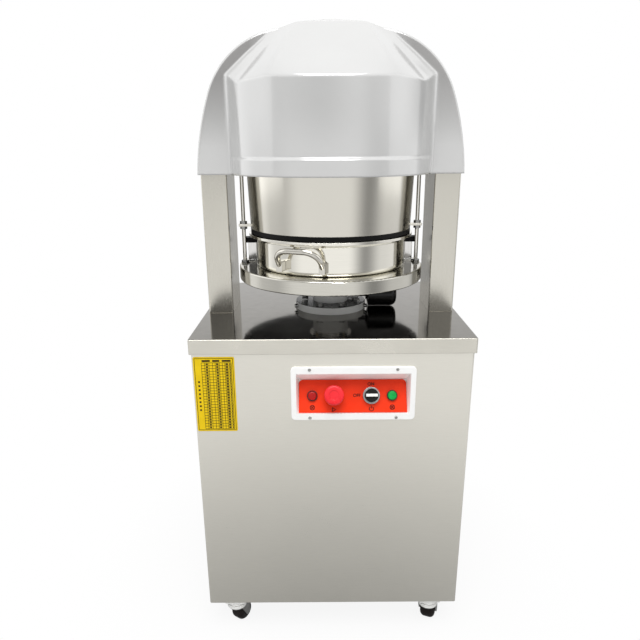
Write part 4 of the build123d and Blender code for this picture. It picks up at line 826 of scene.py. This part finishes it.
films += [
    (inked_line(arrow_sides, sign_line), (button_x, button_sign_y)),
    (inked_line([(arrow_back, arrow_half), (arrow_back, -arrow_half)], sign_line), (button_x, button_sign_y)),
    (inked_line(open_ring, power_line), (selector_x, power_sign_y)),
    (inked_line(power_bar, power_line), (selector_x, power_sign_y)),
    (inked_word("ON", word_height), on_place),
    (inked_word("OFF", word_height), off_place),
]
points, faces = gathered(films)
piece_from("panel_print", points @ plate_axes + plate_foot, faces, print_ink, "frame")

# Chart plate: a thin sheet painted yellow and fixed flat to the cabinet front, with a ruled table printed on
# it in black. A line runs round it, three bars head its columns, short bars stand for the entries of its 24
# rows, and dots run down its left margin.
chart_yellow = moulded(
    "yellow_chart_paint", (0.80, 0.55, 0.002), (0.88, 0.62, 0.006), 0.4, Specular_IOR_Level=0.2
)
dress(chart_yellow, "chart_plate")
chart_centre = np.array([-0.2185, -0.2248, 0.547])
chart_axes = np.array([(1.0, 0.0, 0.0), (0.0, 0.0, 1.0), (0.0, -1.0, 0.0)])
chart_border = np.array([0.0352, 0.0722])
border_line = 0.0009
row_line = 0.0008
column_line = 0.0007
table_left = -0.0225
table_right = 0.0325
table_low = -0.0700
table_high = 0.0640
column_lines = (table_left, -0.0165, -0.0085, -0.0020, 0.0030, 0.0105, 0.0160, 0.0205, table_right)
heading_y = 0.0676
heading_height = 0.0036
headings = ((-0.0140, 0.0150), (0.0045, 0.0130), (0.0235, 0.0160))
entry_height = 0.0031
entry_columns = ((-0.0125, 0.0056), (0.0067, 0.0056), (0.0243, 0.0064), (0.0300, 0.0032))
dot_x = -0.0290
dot_size = 0.0034
row_lines = np.linspace(table_low, table_high, 25)
row_middles = (row_lines[:-1] + row_lines[1:]) / 2.0
middle_x = (table_left + table_right) / 2.0
middle_y = (table_low + table_high) / 2.0
marks = [((0.0, side * chart_border[1]), (2.0 * chart_border[0], border_line)) for side in (-1.0, 1.0)]
marks += [((side * chart_border[0], 0.0), (border_line, 2.0 * chart_border[1])) for side in (-1.0, 1.0)]
marks += [((middle_x, y), (table_right - table_left, row_line)) for y in row_lines]
marks += [((x, middle_y), (column_line, table_high - table_low)) for x in column_lines]
marks += [((x, heading_y), (wide, heading_height)) for x, wide in headings]
for x, wide in entry_columns:
    uneven = wide * (0.85 + 0.15 * np.sin(9000.0 * row_middles))
    marks += [((x, y), (length, entry_height)) for y, length in zip(row_middles, uneven)]
marks += [((dot_x, y), (dot_size, dot_size)) for y in np.linspace(-0.031, 0.026, 8)]
points, faces = raised_boxes([mark[0] for mark in marks], [mark[1] for mark in marks], 0.0, ink_film)
chart_points = points @ chart_axes + chart_centre
piece_from("chart_print", chart_points, faces.tolist(), print_ink, "frame")

# Studio: a pale floor that turns white away from the machine, and a white surround in which metal mirrors
# darker gaps between soft boxes. In metal the floor mirrors darker close to the machine: a painted shadow.
# One large lamp hangs overhead in front, and a soft box stands at each side.
floor_reach = 1.6
corner_signs = np.array([(-1.0, -1.0, 0.0), (1.0, -1.0, 0.0), (1.0, 1.0, 0.0), (-1.0, 1.0, 0.0)])
floor_mesh = bpy.data.meshes.new("floor")
floor_mesh.from_pydata((corner_signs * floor_reach).tolist(), [], [(0, 1, 2, 3)])
floor = bpy.data.objects.new("floor", floor_mesh)
bpy.context.scene.collection.objects.link(floor)
floor_material, tree, shader = finish_tree("pale_floor", Roughness=0.9)
shader.inputs["Base Color"].default_value = (0.80, 0.80, 0.80, 1.0)
floor_mesh.materials.append(floor_material)
coordinates = add_node(tree, "ShaderNodeTexCoord")
away = add_node(tree, "ShaderNodeVectorMath")
away.operation = "LENGTH"
tree.links.new(coordinates.outputs["Object"], away.inputs[0])
seen_white = spread(tree, away.outputs["Value"], 0.90, 1.0, 0.28, 0.6)
# Painted shadow: in metal the floor mirrors from 0.36 near the machine up to full white further out.
mirrored_painted_shadow = spread(tree, away.outputs["Value"], 0.36, 1.0, 0.25, 1.3)
path = add_node(tree, "ShaderNodeLightPath")
seen = combine(tree, "MULTIPLY", path.outputs["Is Camera Ray"], seen_white)
mirrored = combine(tree, "MULTIPLY", path.outputs["Is Glossy Ray"], mirrored_painted_shadow)
white = add_node(tree, "ShaderNodeEmission")
tree.links.new(combine(tree, "MAXIMUM", path.outputs["Is Camera Ray"], mirrored), white.inputs["Strength"])
blend = add_node(tree, "ShaderNodeMixShader")
tree.links.new(combine(tree, "MAXIMUM", seen, path.outputs["Is Glossy Ray"]), blend.inputs[0])
tree.links.new(shader.outputs[0], blend.inputs[1])
tree.links.new(white.outputs[0], blend.inputs[2])
tree.links.new(blend.outputs[0], tree.nodes["Material Output"].inputs["Surface"])

world = bpy.data.worlds.new("studio")
bpy.context.scene.world = world
world.use_nodes = True
tree = world.node_tree
background = tree.nodes["Background"]
background.inputs["Color"].default_value = (1.0, 1.0, 1.0, 1.0)
coordinates = add_node(tree, "ShaderNodeTexCoord")
around = add_node(tree, "ShaderNodeTexGradient")
around.gradient_type = "RADIAL"
tree.links.new(coordinates.outputs["Generated"], around.inputs["Vector"])


def light_ring(tree, around, left, levels):
    """How bright the surround is at each bearing: 0 in front, 90 at the right, and one level at the left."""
    ring = add_node(tree, "ShaderNodeValToRGB")
    ring.color_ramp.interpolation = "EASE"
    stops = ring.color_ramp.elements
    stops[0].color = (left, left, left, 1.0)
    stops[1].color = (left, left, left, 1.0)
    for bearing, level in levels:
        stops.new(0.25 + bearing / 360.0).color = (level, level, level, 1.0)
    tree.links.new(around.outputs["Fac"], ring.inputs["Fac"])
    return ring.outputs["Color"]


walls = [(-70.0, 0.64), (-42.0, 0.96), (24.0, 0.96), (52.0, 0.32), (82.0, 0.74), (108.0, 0.80), (132.0, 0.12)]
walls += [(180.0, 0.55), (208.0, 0.12), (234.0, 1.0), (250.0, 1.0)]
lower = combine(tree, "MULTIPLY", light_ring(tree, around, 0.70, walls), 1.1)
boxes = [(-80.0, 1.1), (-55.0, 0.5), (-10.0, 0.05), (28.0, 0.7), (44.0, 0.4), (80.0, 1.1)]
boxes += [(116.0, 0.1), (145.0, 1.0), (240.0, 1.1)]
ray = add_node(tree, "ShaderNodeSeparateXYZ")
tree.links.new(coordinates.outputs["Generated"], ray.inputs["Vector"])
ceiling = add_node(tree, "ShaderNodeMix", B=1.0)
tree.links.new(spread(tree, ray.outputs["Z"], 0.0, 1.0, 0.25, 0.5), ceiling.inputs["Factor"])
tree.links.new(light_ring(tree, around, 1.1, boxes), ceiling.inputs["A"])
upper = add_node(tree, "ShaderNodeMix")
tree.links.new(spread(tree, ray.outputs["Z"], 0.0, 1.0, 0.0, 0.06), upper.inputs["Factor"])
tree.links.new(lower, upper.inputs["A"])
tree.links.new(ceiling.outputs["Result"], upper.inputs["B"])
path = add_node(tree, "ShaderNodeLightPath")
glossy = combine(tree, "MULTIPLY", path.outputs["Is Glossy Ray"], upper.outputs["Result"])
straight = combine(tree, "MAXIMUM", path.outputs["Is Camera Ray"], path.outputs["Is Transmission Ray"])
shown = combine(tree, "MAXIMUM", straight, glossy)
shade = spread(tree, ray.outputs["Z"], 0.80, 0.50, -0.2, 0.2)
scattered = combine(tree, "MULTIPLY", path.outputs["Is Diffuse Ray"], shade)
tree.links.new(combine(tree, "MAXIMUM", shown, scattered), background.inputs["Strength"])


def soft_lamp(name, place, aim, wide, high, watts):
    """A rectangular area lamp at one point, turned to face another."""
    data = bpy.data.lights.new(name, "AREA")
    data.shape = "RECTANGLE"
    data.size = wide
    data.size_y = high
    data.energy = watts
    lamp = bpy.data.objects.new(name, data)
    bpy.context.scene.collection.objects.link(lamp)
    lamp.location = place
    lamp.rotation_euler = (Vector(aim) - Vector(place)).to_track_quat("-Z", "Y").to_euler()


soft_lamp("overhead", (0.0, -1.15, 2.9), (0.0, -0.1, 0.9), 1.8, 1.8, 56.0)
soft_lamp("left_box", (-2.1, 0.0, 1.5), (0.0, 0.0, 1.0), 2.2, 1.8, 7.0)
soft_lamp("right_box", (2.1, -0.2, 1.5), (0.0, 0.0, 1.0), 1.8, 1.8, 5.5)

camera_data = bpy.data.cameras.new("camera")
camera_data.sensor_width = 36.0
camera_data.lens = 557.6 * 36.0 / 640.0
camera = bpy.data.objects.new("camera", camera_data)
bpy.context.scene.collection.objects.link(camera)
camera.location = (-0.023, -1.178, 0.983)
camera.rotation_mode = "ZXY"
camera.rotation_euler = (math.radians(90.0 - 17.0), 0.0, math.radians(-0.37))
bpy.context.scene.camera = camera
bpy.context.scene.view_settings.view_transform = "Standard"
